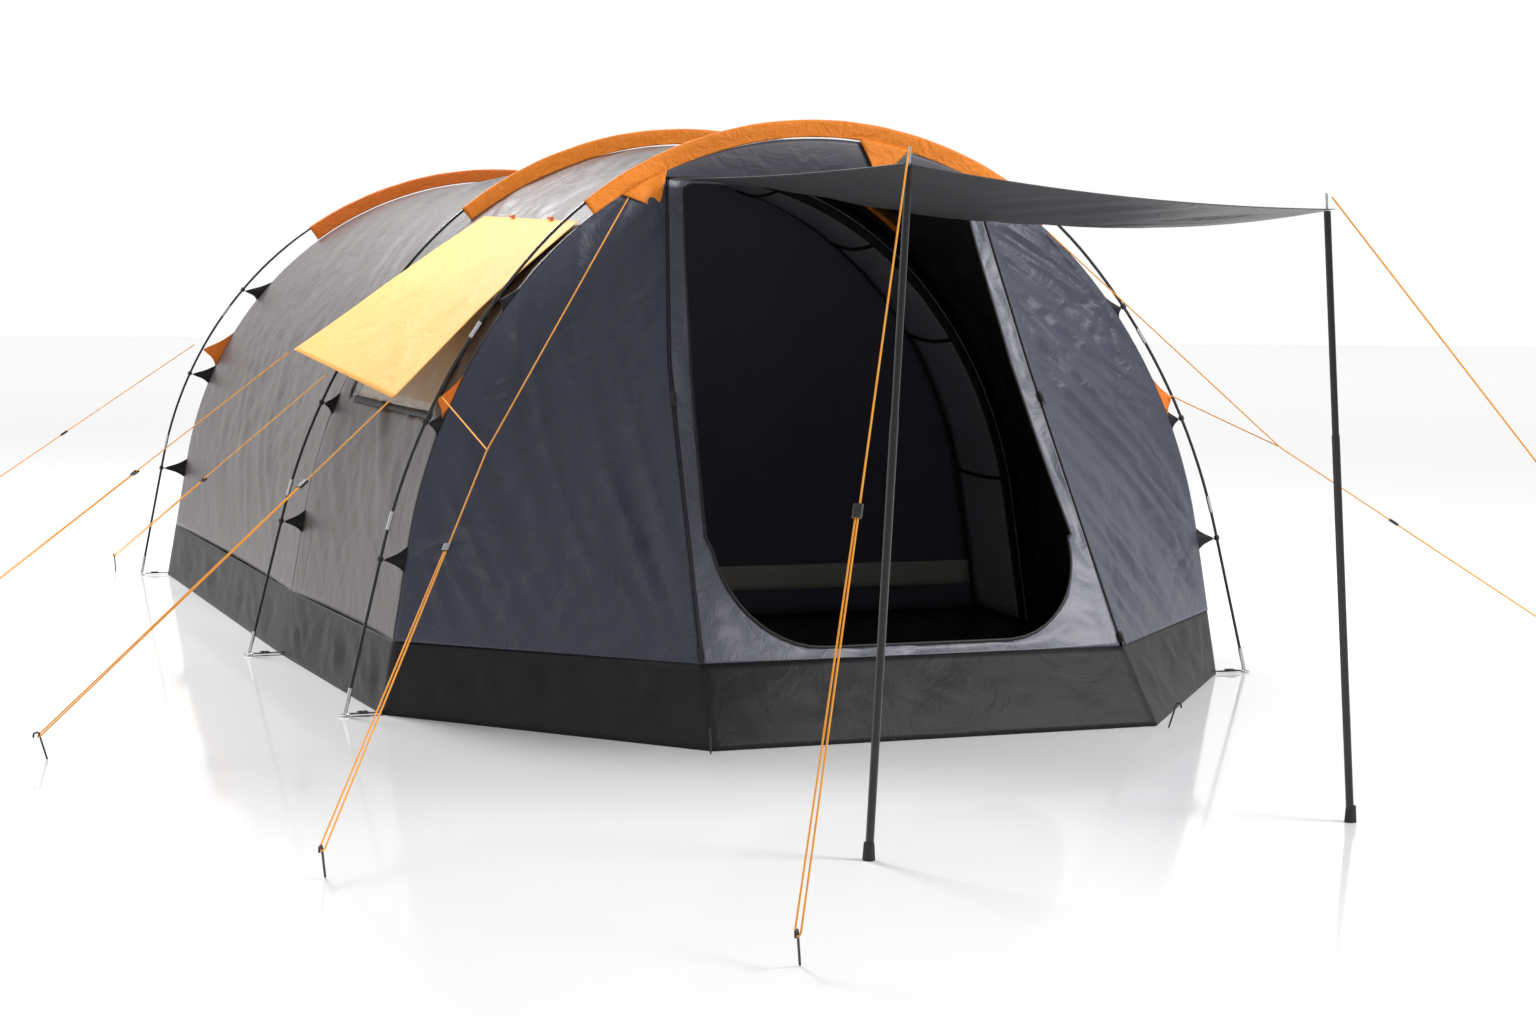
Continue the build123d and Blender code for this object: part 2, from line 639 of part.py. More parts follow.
# Door canopy, with an eyelet over each pole's spike
with BuildPart() as canopy:
    for v in (0, 0.25, 0.5, 0.75, 0.9, 1):
        edge = [canopy_point(u / 6, v) for u in range(7)]
        with BuildSketch(Plane.XZ.offset(-edge[0].Y - (edge[-1].Y - edge[0].Y) / 2)):
            with BuildLine():
                low = [(p.X, p.Z) for p in edge]
                Polyline(*low, *((x, z + CLOTH) for x, z in reversed(low)), close=True)
            make_face()
    loft(ruled=True)
    for foot, top in (LEFT_POLE, RIGHT_POLE):
        with BuildSketch(lean_plane(top, top - foot, (1, 0, 0)).offset(-20)):
            Circle(EYELET_R)
        extrude(amount=60, mode=Mode.SUBTRACT)
save(canopy, "door_canopy")

# Awning over the side window, whose rear part lies outside the middle hoop's pole
with BuildPart() as awning:
    for i, belly in enumerate(AWNING_BELLY):
        share = i / (len(AWNING_BELLY) - 1)
        a, b = (
            hem[0] + (hem[1] - hem[0]) * share + AWNING_OUT * belly for hem in (AWNING_FRONT, AWNING_REAR)
        )
        along = (b - a).normalized()
        with BuildSketch(Plane(origin=a, x_dir=along, z_dir=along.cross(AWNING_OUT))):
            with Locations(((b - a).length / 2, CLOTH / 2)):
                Rectangle((b - a).length, CLOTH)
    loft(ruled=True)
save(awning, "side_awning")

# Toggles along the awning's top hem, on its outer face
with BuildPart() as toggles:
    lift = AWNING_OUT * (AWNING_BELLY[0] + CLOTH + TOGGLE_D / 2 + 1)
    a, b = AWNING_FRONT[0] + lift, AWNING_REAR[0] + lift
    for share in TOGGLE_SHARES:
        with BuildSketch(lean_plane(a + (b - a) * share, b - a, AWNING_OUT)):
            Circle(TOGGLE_D / 2)
        extrude(amount=TOGGLE_LENGTH / 2, both=True)
save(toggles, "awning_toggles")


def guy_end(peg, top):
    """Where the guy is looped over its peg."""
    away = Vector(peg.X - top.X, peg.Y - top.Y, 0).normalized()
    return peg + away * (GUY_HOLD * tan(radians(PEG_LEAN))) + Vector(0, 0, GUY_HOLD)


def guy_start(name):
    """Where the last straight stretch of a guy begins: at its tie, or at its knot."""
    return FORKS[name][1] if name in FORKS else GUYS[name][0]


# Guys: down to the peg, round it and back up to the runner
for name, (top, share, peg) in GUYS.items():
    start = guy_start(name)
    end = guy_end(peg, start)
    along = (end - start).normalized()
    across = along.cross(Vector(0, 0, 1)).normalized()
    runner = start + (end - start) * share
    turn = PEG_D / 2 + GUY_D / 2 + LOOP_GAP
    low = end + along * turn
    narrow, wide = across * (STRAND_APART_AT_RUNNER / 2), across * turn
    route = [top, runner - narrow, low - wide, low + wide, runner - along * STRAND_PAST_RUNNER + narrow]
    radii = [GUY_BEND_R, turn - 0.1, turn - 0.1]
    if name in FORKS:
        route.insert(1, start)
        radii.insert(0, GUY_BEND_R)
    with BuildPart() as guy:
        with BuildLine() as path:
            FilletPolyline(*route, radius=radii)
        with BuildSketch(lean_plane(top, route[1] - route[0])):
            Circle(GUY_D / 2)
        sweep(path=path.wire())
    save(guy, f"{name}_guy")
    print(name, "guy length", round(path.wire().length), "radii", [round(r, 1) for r in radii])

    plane = Plane(origin=runner, x_dir=across, z_dir=along)
    with BuildPart() as slide:
        with BuildSketch(plane):
            RectangleRounded(RUNNER[1], RUNNER[2], 4)
            RectangleRounded(*RUNNER_SLOT, 3, mode=Mode.SUBTRACT)
        extrude(amount=RUNNER[0] / 2, both=True)
    save(slide, f"{name}_runner")

# Branches of the forked guys
with BuildPart() as branches:
    for tie, knot in FORKS.values():
        reach = knot - tie
        shorter = reach * (1 - 2 * GUY_D / reach.length)
        with BuildSketch(lean_plane(tie, reach)):
            Circle(GUY_D / 2)
        extrude(amount=shorter.length)
save(branches, "guy_branches")


def stand_peg(spot, away):
    """A peg's head: a leaning shank that bends over, away from the tent, into a short hook."""
    away = Vector(away.X, away.Y, 0).normalized()
    lean = radians(PEG_LEAN)
    shank = away * sin(lean) + Vector(0, 0, cos(lean))
    top = spot + shank * PEG_HEIGHT
    with BuildPart() as peg:
        with BuildLine() as path:
            FilletPolyline(
                spot + Vector(0, 0, PEG_D / 2),
                top,
                top + away * (2 * PEG_HOOK),
                top + away * (2 * PEG_HOOK) - Vector(0, 0, 1.6 * PEG_HOOK),
                radius=PEG_HOOK * 0.7,
            )
        with BuildSketch(lean_plane(path.wire() @ 0, path.wire() % 0)):
            Circle(PEG_D / 2)
        sweep(path=path.wire())
        with Locations(spot + Vector(0, 0, PEG_D / 2)):
            Sphere(PEG_D / 2)
    return peg.part


# Pegs of the guys and of the porch's front corners
with BuildPart() as pegs:
    for name, (_, _, peg) in GUYS.items():
        add(stand_peg(peg, peg - guy_start(name)))
    for side in (-1, 1):
        corner = seam_at(0, side)
        away = Vector(side * CORNER_PEG[0], CORNER_PEG[1], 0)
        add(stand_peg(corner + away, away))
save(pegs, "pegs")
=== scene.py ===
import math
import random

import bpy
from mathutils import Matrix, Vector, noise


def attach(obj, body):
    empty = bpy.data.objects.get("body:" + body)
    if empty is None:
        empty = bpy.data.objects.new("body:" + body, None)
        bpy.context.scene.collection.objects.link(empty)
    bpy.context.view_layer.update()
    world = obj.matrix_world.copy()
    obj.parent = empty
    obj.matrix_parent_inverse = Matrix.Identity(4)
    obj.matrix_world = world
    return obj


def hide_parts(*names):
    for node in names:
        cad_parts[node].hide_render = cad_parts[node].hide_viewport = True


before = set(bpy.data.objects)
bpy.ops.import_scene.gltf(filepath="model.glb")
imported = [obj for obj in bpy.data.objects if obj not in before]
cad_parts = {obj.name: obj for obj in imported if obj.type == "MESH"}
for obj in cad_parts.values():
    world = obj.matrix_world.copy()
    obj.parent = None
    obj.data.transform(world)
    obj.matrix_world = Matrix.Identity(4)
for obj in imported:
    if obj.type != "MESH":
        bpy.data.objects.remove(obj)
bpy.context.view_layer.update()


def say(text):
    print("tent:", text)


def unit(v):
    return v.normalized()


def lerp(a, b, t):
    return a + (b - a) * t


def clearSelection():
    if bpy.context.object and bpy.context.object.mode != "OBJECT":
        bpy.ops.object.mode_set(mode="OBJECT")
    bpy.ops.object.select_all(action="DESELECT")


def only(obj):
    clearSelection()
    obj.select_set(True)
    bpy.context.view_layer.objects.active = obj


def applyAll(obj):
    only(obj)
    for mod in list(obj.modifiers):
        bpy.ops.object.modifier_apply(modifier=mod.name)


def bakePlace(obj):  # the place goes into the mesh, the object stays at the origin
    only(obj)
    bpy.ops.object.transform_apply(location=True, rotation=True, scale=True)


def finishPiece(obj, name, material, nodes=()):
    obj.name = name
    obj.data.name = name
    obj.data.materials.clear()
    obj.data.materials.append(material)
    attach(obj, "tent")
    if nodes:
        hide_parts(*nodes)
    return obj


# The camera comes first, because the cords are measured against its view
cameraSet = {
    "place": (-3.557, -9.785, 1.45),
    "turn": 0.380,      # to the right of +Y
    "tip": -0.083,
    "roll": 0.015,
    "lens": 58.58,
    "sensor": 36,
    "lift": -0.0073,    # the whole view sits a little high
    "reach": 200,
}


def makeCamera(c):
    cam = bpy.data.objects.new("camera", bpy.data.cameras.new("camera"))
    bpy.context.collection.objects.link(cam)
    turn, tip, roll = c["turn"], c["tip"], c["roll"]
    look = Vector((math.sin(turn) * math.cos(tip), math.cos(turn) * math.cos(tip), math.sin(tip)))
    side = Vector((math.cos(turn), -math.sin(turn), 0))
    up = side.cross(look)
    right = side * math.cos(roll) + up * math.sin(roll)
    above = up * math.cos(roll) - side * math.sin(roll)
    facing = Matrix((right, above, -look)).transposed()
    cam.matrix_world = Matrix.Translation(c["place"]) @ facing.to_4x4()
    cam.data.lens = c["lens"]
    cam.data.sensor_width = c["sensor"]
    cam.data.shift_y = c["lift"]
    cam.data.clip_end = c["reach"]
    bpy.context.scene.camera = cam


makeCamera(cameraSet)
say("camera")


# The hoops, the cloth's arches inside them and the porch's seam, as the frame has them: metres and degrees
poleHoops = {
    "front": dict(half=1.775, height=2.070, lean=13.7, shoulder=42.8, leg=0.577, y=-1.486, tilt=2.8),
    "middle": dict(half=1.835, height=2.110, lean=13.7, shoulder=42.8, leg=0.577, y=0.0, tilt=0.0),
    "rear": dict(half=1.857, height=2.060, lean=10.7, shoulder=42.6, leg=0.601, y=2.888, tilt=0.0),
}
clothSet = {"inset": 0.130, "drop": 0.060, "lean": 9.5, "skirtTop": 0.250}
seamLine = [    # the zip seam on the right side, from the ground up
    Vector((0.807, -2.458, 0)), Vector((0.775, -2.268, 0.25)), Vector((0.692, -1.685, 1.2)),
    Vector((0.605, -1.385, 1.85)),
]


def makeArch(half, height, lean, shoulder, leg, y, tilt):
    a, p = math.radians(lean), math.radians(shoulder)
    sa, ca, sp, cp = math.sin(a), math.cos(a), math.sin(p), math.cos(p)
    across, up = half - leg * sa, height - leg * ca
    span = (ca - cp) * (1 - sp) - cp * (sp - sa)
    shoulderR = (across * (1 - sp) - cp * up) / span
    crownR = ((ca - cp) * up - (sp - sa) * across) / span
    knee = leg + shoulderR * (p - a)
    return {
        "half": half, "leg": leg, "y": y, "tilt": math.radians(tilt),
        "lean": a, "shoulder": p, "shoulderR": shoulderR, "crownR": crownR, "knee": knee,
        "length": 2 * (knee + crownR * (math.pi / 2 - p)),
    }


def clothArch(h, inset=0.0):
    half = h["half"] - clothSet["inset"] - inset
    height = h["height"] - clothSet["drop"] - inset
    return makeArch(half, height, clothSet["lean"], h["shoulder"], h["leg"], h["y"], h["tilt"])


def archFlat(arch, s):  # x, height and heading at the length s from the left foot
    if s > arch["length"] / 2:
        x, z, turn = archFlat(arch, arch["length"] - s)
        return -x, z, math.pi - turn
    if s <= arch["leg"]:
        return -arch["half"] + s * math.sin(arch["lean"]), s * math.cos(arch["lean"]), arch["lean"]
    if s <= arch["knee"]:
        x, z, _ = archFlat(arch, arch["leg"])
        start, r = arch["lean"], arch["shoulderR"]
        turn = start + (s - arch["leg"]) / r
    else:
        x, z, _ = archFlat(arch, arch["knee"])
        start, r = arch["shoulder"], arch["crownR"]
        turn = start + (s - arch["knee"]) / r
    return x + r * (math.cos(start) - math.cos(turn)), z + r * (math.sin(turn) - math.sin(start)), turn


def archPoint(arch, s, out=0.0):
    x, z, turn = archFlat(arch, s)
    x, z = x - out * math.cos(turn), z + out * math.sin(turn)
    return Vector((x, arch["y"] + z * math.sin(arch["tilt"]), z * math.cos(arch["tilt"])))


def sideAt(arch, height):
    low, high = 0.0, arch["length"] / 2
    for _ in range(30):
        mid = (low + high) / 2
        if archFlat(arch, mid)[1] * math.cos(arch["tilt"]) < height:
            low = mid
        else:
            high = mid
    return low


def betweenArches(a, b, y, inset):
    share = (y - a["y"]) / (b["y"] - a["y"])
    return clothArch({key: lerp(a[key], b[key], share) for key in a}, inset)


poles = {name: makeArch(**h) for name, h in poleHoops.items()}
cloths = {name: clothArch(h) for name, h in poleHoops.items()}


def seamAt(height, side=-1):
    for low, high in zip(seamLine, seamLine[1:]):
        if height <= high.z:
            break
    p = low + (high - low) * ((height - low.z) / (high.z - low.z))
    return Vector((side * p.x, p.y, height))


def wallAt(height, side=-1):
    p = archPoint(cloths["front"], sideAt(cloths["front"], height))
    return Vector((side * -p.x, p.y, height))


def newMaterial(name):
    mat = bpy.data.materials.new(name)
    mat.use_nodes = True
    return mat, mat.node_tree.nodes, mat.node_tree.links, mat.node_tree.nodes["Principled BSDF"]


def addNoise(nodes, links, coords, scale, detail):
    spots = nodes.new("ShaderNodeTexNoise")
    spots.inputs["Scale"].default_value = scale
    spots.inputs["Detail"].default_value = detail
    links.new(coords.outputs["Object"], spots.inputs["Vector"])
    return spots


def addBump(nodes, links, height, strength, distance):
    bump = nodes.new("ShaderNodeBump")
    bump.inputs["Strength"].default_value = strength
    bump.inputs["Distance"].default_value = distance
    links.new(height, bump.inputs["Height"])
    return bump


clothLook = {
    "shade": 0.14, "patchScale": 1.7, "patchDetail": 4,     # slow changes of tone over the cloth
    "foldDetail": 6, "foldRough": 0.55, "foldBend": 1.2, "foldHeight": 0.035,
    "threads": 260, "threadBend": 0.4, "threadHeight": 0.0006, "weave": 0.12,
    "coatRough": 0.34,
}


def clothMaterial(name, colour, rough=0.55, crease=0.25, creaseScale=5.0, coat=0.0, gloss=0.4):
    mat, nodes, links, skin = newMaterial(name)
    c = clothLook
    skin.inputs["Roughness"].default_value = rough
    skin.inputs["Coat Weight"].default_value = coat
    skin.inputs["Coat Roughness"].default_value = c["coatRough"]
    skin.inputs["Specular IOR Level"].default_value = gloss
    coords = nodes.new("ShaderNodeTexCoord")
    patch = addNoise(nodes, links, coords, c["patchScale"], c["patchDetail"])
    ramp = nodes.new("ShaderNodeMix")
    ramp.data_type = "RGBA"
    ramp.inputs["A"].default_value = (*[part * (1 - c["shade"]) for part in colour], 1)
    ramp.inputs["B"].default_value = (*[min(1, part * (1 + c["shade"])) for part in colour], 1)
    links.new(patch.outputs["Fac"], ramp.inputs["Factor"])
    links.new(ramp.outputs["Result"], skin.inputs["Base Color"])
    fold = addNoise(nodes, links, coords, creaseScale, c["foldDetail"])
    fold.inputs["Roughness"].default_value = c["foldRough"]
    fold.inputs["Distortion"].default_value = c["foldBend"]
    ridge = nodes.new("ShaderNodeMath")     # the noise folded about its middle gives thin crease lines
    ridge.operation = "PINGPONG"
    ridge.inputs[1].default_value = 0.5
    links.new(fold.outputs["Fac"], ridge.inputs[0])
    softBump = addBump(nodes, links, ridge.outputs["Value"], crease, c["foldHeight"])
    thread = nodes.new("ShaderNodeTexWave")
    thread.inputs["Scale"].default_value = c["threads"]
    thread.inputs["Distortion"].default_value = c["threadBend"]
    links.new(coords.outputs["UV"], thread.inputs["Vector"])
    fineBump = addBump(nodes, links, thread.outputs["Fac"], c["weave"], c["threadHeight"])
    links.new(softBump.outputs["Normal"], fineBump.inputs["Normal"])
    links.new(fineBump.outputs["Normal"], skin.inputs["Normal"])
    return mat


grainLook = {"detail": 5, "height": 0.001}


def plainMaterial(name, colour, rough=0.4, metal=0.0, coat=0.0, grain=0.0, grainScale=60.0):
    mat, nodes, links, skin = newMaterial(name)
    skin.inputs["Base Color"].default_value = (*colour, 1)
    skin.inputs["Roughness"].default_value = rough
    skin.inputs["Metallic"].default_value = metal
    skin.inputs["Coat Weight"].default_value = coat
    if grain:
        spots = addNoise(nodes, links, nodes.new("ShaderNodeTexCoord"), grainScale, grainLook["detail"])
        bump = addBump(nodes, links, spots.outputs["Fac"], grain, grainLook["height"])
        links.new(bump.outputs["Normal"], skin.inputs["Normal"])
    return mat


def windowMaterial(name, colour, rough, clear, coat):
    mat, _, _, skin = newMaterial(name)
    skin.inputs["Base Color"].default_value = (*colour, 1)
    skin.inputs["Roughness"].default_value = rough
    skin.inputs["Alpha"].default_value = clear
    skin.inputs["Coat Weight"].default_value = coat
    return mat


clothFinishes = {
    "flyTaupe": dict(colour=(0.060, 0.047, 0.047), rough=0.45, crease=0.45, creaseScale=4.2, coat=0.3),
    "porchSlate": dict(colour=(0.046, 0.050, 0.078), rough=0.42, crease=0.5, creaseScale=4.6, coat=0.12),
    # the porch slate made lighter: painted light on the front panel, which faces the key lamp
    "frontSlatePaintedLight": dict(colour=(0.115, 0.118, 0.148), rough=0.42, crease=0.45, creaseScale=6, coat=0.25),
    "hoodNavy": dict(colour=(0.052, 0.052, 0.07), rough=0.5, crease=0.3, coat=0.25),
    "skirtDark": dict(colour=(0.012, 0.010, 0.012), rough=0.5, crease=0.3, creaseScale=4, gloss=0.25),
    "groundsheet": dict(colour=(0.009, 0.009, 0.010), rough=0.32, crease=0.4, creaseScale=7, coat=0.15),
    "sleeveOrange": dict(colour=(0.86, 0.24, 0.012), rough=0.6, crease=0.5, creaseScale=12),
    # the sleeve orange made darker and redder: painted shade on the rear sleeve
    "rearOrangePaintedShade": dict(colour=(0.74, 0.165, 0.01), rough=0.6, crease=0.5, creaseScale=12),
    "awningAmber": dict(colour=(0.93, 0.45, 0.075), rough=0.55, crease=0.3),
    "canopyCharcoal": dict(colour=(0.05, 0.048, 0.052), rough=0.45, crease=0.35, coat=0.2),
    "curtainCream": dict(colour=(0.66, 0.52, 0.34), rough=0.75, crease=0.3),
    "thresholdGrey": dict(colour=(0.7, 0.68, 0.6), rough=0.7, crease=0.3),
    "innerNavy": dict(colour=(0.16, 0.148, 0.2), rough=0.7, crease=0.3),
    "innerGrey": dict(colour=(0.5, 0.5, 0.56), rough=0.7, crease=0.3),
    "bandBlack": dict(colour=(0.010, 0.010, 0.011), rough=0.6, crease=0.2),
    "patchOrange": dict(colour=(0.85, 0.2, 0.012), rough=0.6, crease=0.2),
    "guyOrange": dict(colour=(0.88, 0.36, 0.03), rough=0.7, crease=0.1, creaseScale=120),
}
plainFinishes = {
    "poleBlack": dict(colour=(0.010, 0.010, 0.011), rough=0.22, coat=0.3),
    "steel": dict(colour=(0.66, 0.66, 0.67), rough=0.28, metal=1.0),
    "tubeBlack": dict(colour=(0.006, 0.006, 0.007), rough=0.3, coat=0.15),
    "webbing": dict(colour=(0.012, 0.012, 0.013), rough=0.75, grain=0.4, grainScale=700),
    "nylonBlack": dict(colour=(0.014, 0.014, 0.015), rough=0.45, grain=0.1),
    "toggleOrange": dict(colour=(0.62, 0.16, 0.015), rough=0.5, grain=0.2),
    "zipBlack": dict(colour=(0.010, 0.010, 0.011), rough=0.55, grain=0.3, grainScale=400),
    "rubber": dict(colour=(0.015, 0.015, 0.015), rough=0.7, grain=0.2),
    "pegBlack": dict(colour=(0.02, 0.02, 0.021), rough=0.35),
    "pipingGrey": dict(colour=(0.3, 0.29, 0.28), rough=0.5, grain=0.2),
}
windowFinish = dict(colour=(0.86, 0.88, 0.9), rough=0.08, clear=0.22, coat=0.6)
finishes = {name: clothMaterial(name, **look) for name, look in clothFinishes.items()}
for name, look in plainFinishes.items():
    finishes[name] = plainMaterial(name, **look)
finishes["windowClear"] = windowMaterial("windowClear", **windowFinish)
say("materials")


guySet = {
    "d": 0.005,
    "apart": 0.0056,        # between its two strands at the runner
    "hold": 0.078,          # the height at which it goes round the peg
    "pegLean": 18,          # degrees
    "pegD": 0.006, "slack": 0.0014, "pastRunner": 0.012,
}
# Each guy's tie, its runner's share of the way down and its peg's foot, where the frame has them
guys = {
    "left_canopy": ((-0.882, -4.009, 1.812), 0.50, (-1.511, -4.889, 0)),
    "right_canopy": ((0.385, -4.007, 1.732), 0.55, (1.492, -4.677, 0)),
    "left_front": ((-0.762, -1.424, 1.772), 0.29, (-2.312, -3.769, 0)),
    "right_front": ((0.900, -1.424, 1.690), 0.35, (3.000, -2.050, 0)),
    "awning_front": ((-1.600, -1.385, 1.062), 0.27, (-2.796, -1.991, 0)),
    "awning_rear": ((-1.642, 0.160, 1.188), 0.49, (-2.611, 2.051, 0)),
    "middle_hoop": ((-1.520, 0.030, 1.104), 0.52, (-1.960, 3.059, 0)),
    "rear_hoop": ((-1.592, 2.888, 1.150), 0.42, (-3.021, 3.378, 0)),
}
forks = {       # the tie of the branch, and the knot where it joins the guy
    "left_front": ((-1.432, -1.446, 1.080), (-1.521, -2.359, 0.957)),
    "right_front": ((1.432, -1.446, 1.080), (1.812, -1.625, 0.890)),
}


def guyEnd(top, peg):
    away = unit(Vector((peg.x - top.x, peg.y - top.y, 0)))
    lean = guySet["hold"] * math.tan(math.radians(guySet["pegLean"]))
    return peg + away * lean + Vector((0, 0, guySet["hold"]))


def nurbsLine(name, points, radius):
    data = bpy.data.curves.new(name, "CURVE")
    data.dimensions = "3D"
    data.bevel_depth = radius
    data.bevel_resolution = 3
    data.resolution_u = 12
    spline = data.splines.new("NURBS")
    spline.points.add(len(points) - 1)
    for knot, p in zip(spline.points, points):
        knot.co = (*p, 1)
    spline.order_u = 3
    spline.use_endpoint_u = True
    obj = bpy.data.objects.new(name, data)
    bpy.context.collection.objects.link(obj)
    return obj


def lineLength(points):
    return sum((b - a).length for a, b in zip(points, points[1:]))


def declareCord(obj, node, length):
    obj.data.materials.append(finishes["guyOrange"])
    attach(obj, "tent")
    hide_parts(node)


def makeGuys():
    nearBend = 6 * guySet["d"]      # a point this near each bend keeps the long runs straight
    pastRunner = guySet["pastRunner"]
    turn = guySet["pegD"] / 2 + guySet["d"] / 2 + guySet["slack"]
    for name, (top, share, peg) in guys.items():
        top, peg = Vector(top), Vector(peg)
        start = Vector(forks[name][1]) if name in forks else top
        end = guyEnd(start, peg)
        along = unit(end - start)
        across = unit(along.cross(Vector((0, 0, 1))))
        narrow, wide = across * guySet["apart"] / 2, across * turn
        runner = start + (end - start) * share
        low = end + along * turn
        up = unit(runner - narrow - (low - wide))
        back = unit(runner - along * pastRunner + narrow - (low + wide))
        route = [top]
        if name in forks:
            route += [start + unit(top - start) * nearBend, start, start + along * nearBend]
        route += [runner - narrow, low - wide + up * nearBend, low - wide, low + wide,
                  low + wide + back * nearBend, runner - along * pastRunner + narrow]
        guy = nurbsLine(f"{name}_cord", route, guySet["d"] / 2)
        declareCord(guy, f"{name}_guy", lineLength(route))
    for name, (tie, knot) in forks.items():
        tie, knot = Vector(tie), Vector(knot)
        reach = knot - tie
        route = [tie, tie + reach * 0.5, tie + reach * (1 - 2 * guySet["d"] / reach.length)]
        branch = nurbsLine(f"{name}_branch", route, guySet["d"] / 2)
        declareCord(branch, "guy_branches", reach.length)


makeGuys()
say("guys")


# Creases that run out of the points where a cloth is pulled, each a line with a width and a depth
def foldFan(spots, seed, count=4, length=(0.35, 0.9), width=(0.018, 0.04), depth=(0.004, 0.010)):
    pick = random.Random(seed)
    creases = []
    for x, y, aim, spread in spots:
        for i in range(count):
            angle = aim + spread * ((i + 0.5) / count - 0.5) * 2 + pick.uniform(-0.12, 0.12)
            reach = pick.uniform(*length)
            creases.append((x, y, x + math.cos(angle) * reach, y + math.sin(angle) * reach,
                            pick.uniform(*width), pick.uniform(*depth) * pick.choice((1, 1, -0.7))))
    return creases


def creaseAt(creases, x, y):
    total = 0.0
    for x0, y0, x1, y1, width, depth in creases:
        dx, dy = x1 - x0, y1 - y0
        size = dx * dx + dy * dy
        t = ((x - x0) * dx + (y - y0) * dy) / size
        if t <= 0 or t >= 1:
            continue
        away = abs((x - x0) * dy - (y - y0) * dx) / math.sqrt(size)
        wide = width * (0.35 + 1.1 * t)
        if away > 3 * wide:
            continue
        total += depth * math.exp(-(away / wide) ** 2) * min(1, t * 9) * (1 - t) ** 0.7
    return total


def ripple(x, y, scale, depth, seed=0.0):
    return depth * noise.noise(Vector((x * scale, y * scale, seed)))


def crumple(x, y, depth, seed=0.0):  # sharp little ridges, left from being packed
    ridge = abs(noise.noise(Vector((x * 5.2, y * 4.1, seed))))
    ridge += 0.5 * abs(noise.noise(Vector((x * 11, y * 13, seed + 7))))
    return depth * (1 - 2.2 * ridge)


def streaks(x, y, aim, pitch, depth, seed=0.0):  # long parallel pulls in one direction
    along, across = x * math.cos(aim) + y * math.sin(aim), y * math.cos(aim) - x * math.sin(aim)
    wave = noise.noise(Vector((along * 0.9, across * pitch, seed)))
    return depth * (abs(wave) * 2 - 0.5)


# A flat grid is laid over its place by a rule, then given its thickness
def layCloth(place, cols, rows, size=(1, 1), skip=None, thick=0.0014, smooth=True):
    clearSelection()
    bpy.ops.mesh.primitive_grid_add(x_subdivisions=cols, y_subdivisions=rows, size=1)
    obj = bpy.context.object
    mesh = obj.data
    if skip:
        bpy.ops.object.mode_set(mode="EDIT")
        bpy.ops.mesh.select_mode(type="FACE")
        bpy.ops.mesh.select_all(action="DESELECT")
        bpy.ops.object.mode_set(mode="OBJECT")
        for face in mesh.polygons:
            face.select = skip(face.center.x + 0.5, face.center.y + 0.5)
        bpy.ops.object.mode_set(mode="EDIT")
        bpy.ops.mesh.delete(type="FACE")
        bpy.ops.object.mode_set(mode="OBJECT")
    for layer in mesh.uv_layers:
        for corner in layer.data:
            corner.uv = (corner.uv[0] * size[0], corner.uv[1] * size[1])
    for vert in mesh.vertices:
        vert.co = place(vert.co.x + 0.5, vert.co.y + 0.5)
    bpy.ops.object.mode_set(mode="EDIT")
    bpy.ops.mesh.select_all(action="SELECT")
    bpy.ops.mesh.remove_doubles(threshold=0.0002)
    bpy.ops.mesh.normals_make_consistent(inside=False)
    bpy.ops.object.mode_set(mode="OBJECT")
    solid = obj.modifiers.new("thickness", "SOLIDIFY")
    solid.thickness = thick
    solid.offset = 0
    applyAll(obj)
    if smooth:
        bpy.ops.object.shade_smooth()
    return obj


flySet = {
    "sag": 0.022,           # how far the cloth draws in between two hoops
    "middleSag": 0.7,       # the shorter stretch's share of that
    "ripple": 0.005, "crumple": 0.005, "streak": 0.013,     # depths
    "pull": 0.75,           # the way the streaks run, in radians
    "rear": {"cols": 130, "rows": 190},
    "middle": {"cols": 72, "rows": 190},
}
windowSet = {
    "y": (-1.330, -0.150), "z": (1.010, 1.610), "border": 0.026, "borderThick": 0.0015,
    "slope": 0.45,          # of the wall there, in radians from upright
}
clipSteps = (0.545, 1.038, 1.536)   # lengths up each hoop from its foot


def archSpan(arch, v, height=clothSet["skirtTop"]):
    start = sideAt(arch, height)
    return lerp(start, arch["length"] - start, v)


def tunnelPlace(near, far, sag, creases, seed):
    middleLength = (near["length"] + far["length"]) / 2

    def place(u, v):
        a, b = archPoint(near, archSpan(near, v)), archPoint(far, archSpan(far, v))
        p = lerp(a, b, u)
        _, _, turn = archFlat(near, archSpan(near, v))
        out = Vector((-math.cos(turn), 0, math.sin(turn)))
        run, girth = u * abs(far["y"] - near["y"]), v * middleLength
        edge = math.sin(math.pi * u) ** 0.6 * min(1, 8 * v, 8 * (1 - v))
        push = -sag * math.sin(math.pi * u) * (0.35 + 0.65 * math.sin(math.pi * v))
        aim = flySet["pull"] if v < 0.5 else -flySet["pull"]
        push += edge * (creaseAt(creases, run, girth) + ripple(run, girth, 3.1, flySet["ripple"], seed)
                        + crumple(run, girth, flySet["crumple"], seed + 5)
                        + streaks(run, girth, aim, 8.5, flySet["streak"], seed + 9))
        return p + out * push
    return place


def tunnelCreases(near, far, seed):
    long, tall = abs(far["y"] - near["y"]), (near["length"] + far["length"]) / 2
    start = sideAt(near, clothSet["skirtTop"])
    spots = []
    for s in clipSteps:
        for side in (s - start, tall - s):
            spots.append((0.0, side, 0.0, 0.9))
            spots.append((long, side, math.pi, 0.9))
    for side, aim in ((0.0, 0.9), (tall - 2 * start, -0.9)):
        spots.append((0.0, side, aim, 0.5))
        spots.append((long, side, math.pi - aim, 0.5))
    return foldFan(spots, seed, 4, (0.3, min(1.2, long * 0.75)), (0.012, 0.03), (0.004, 0.010))


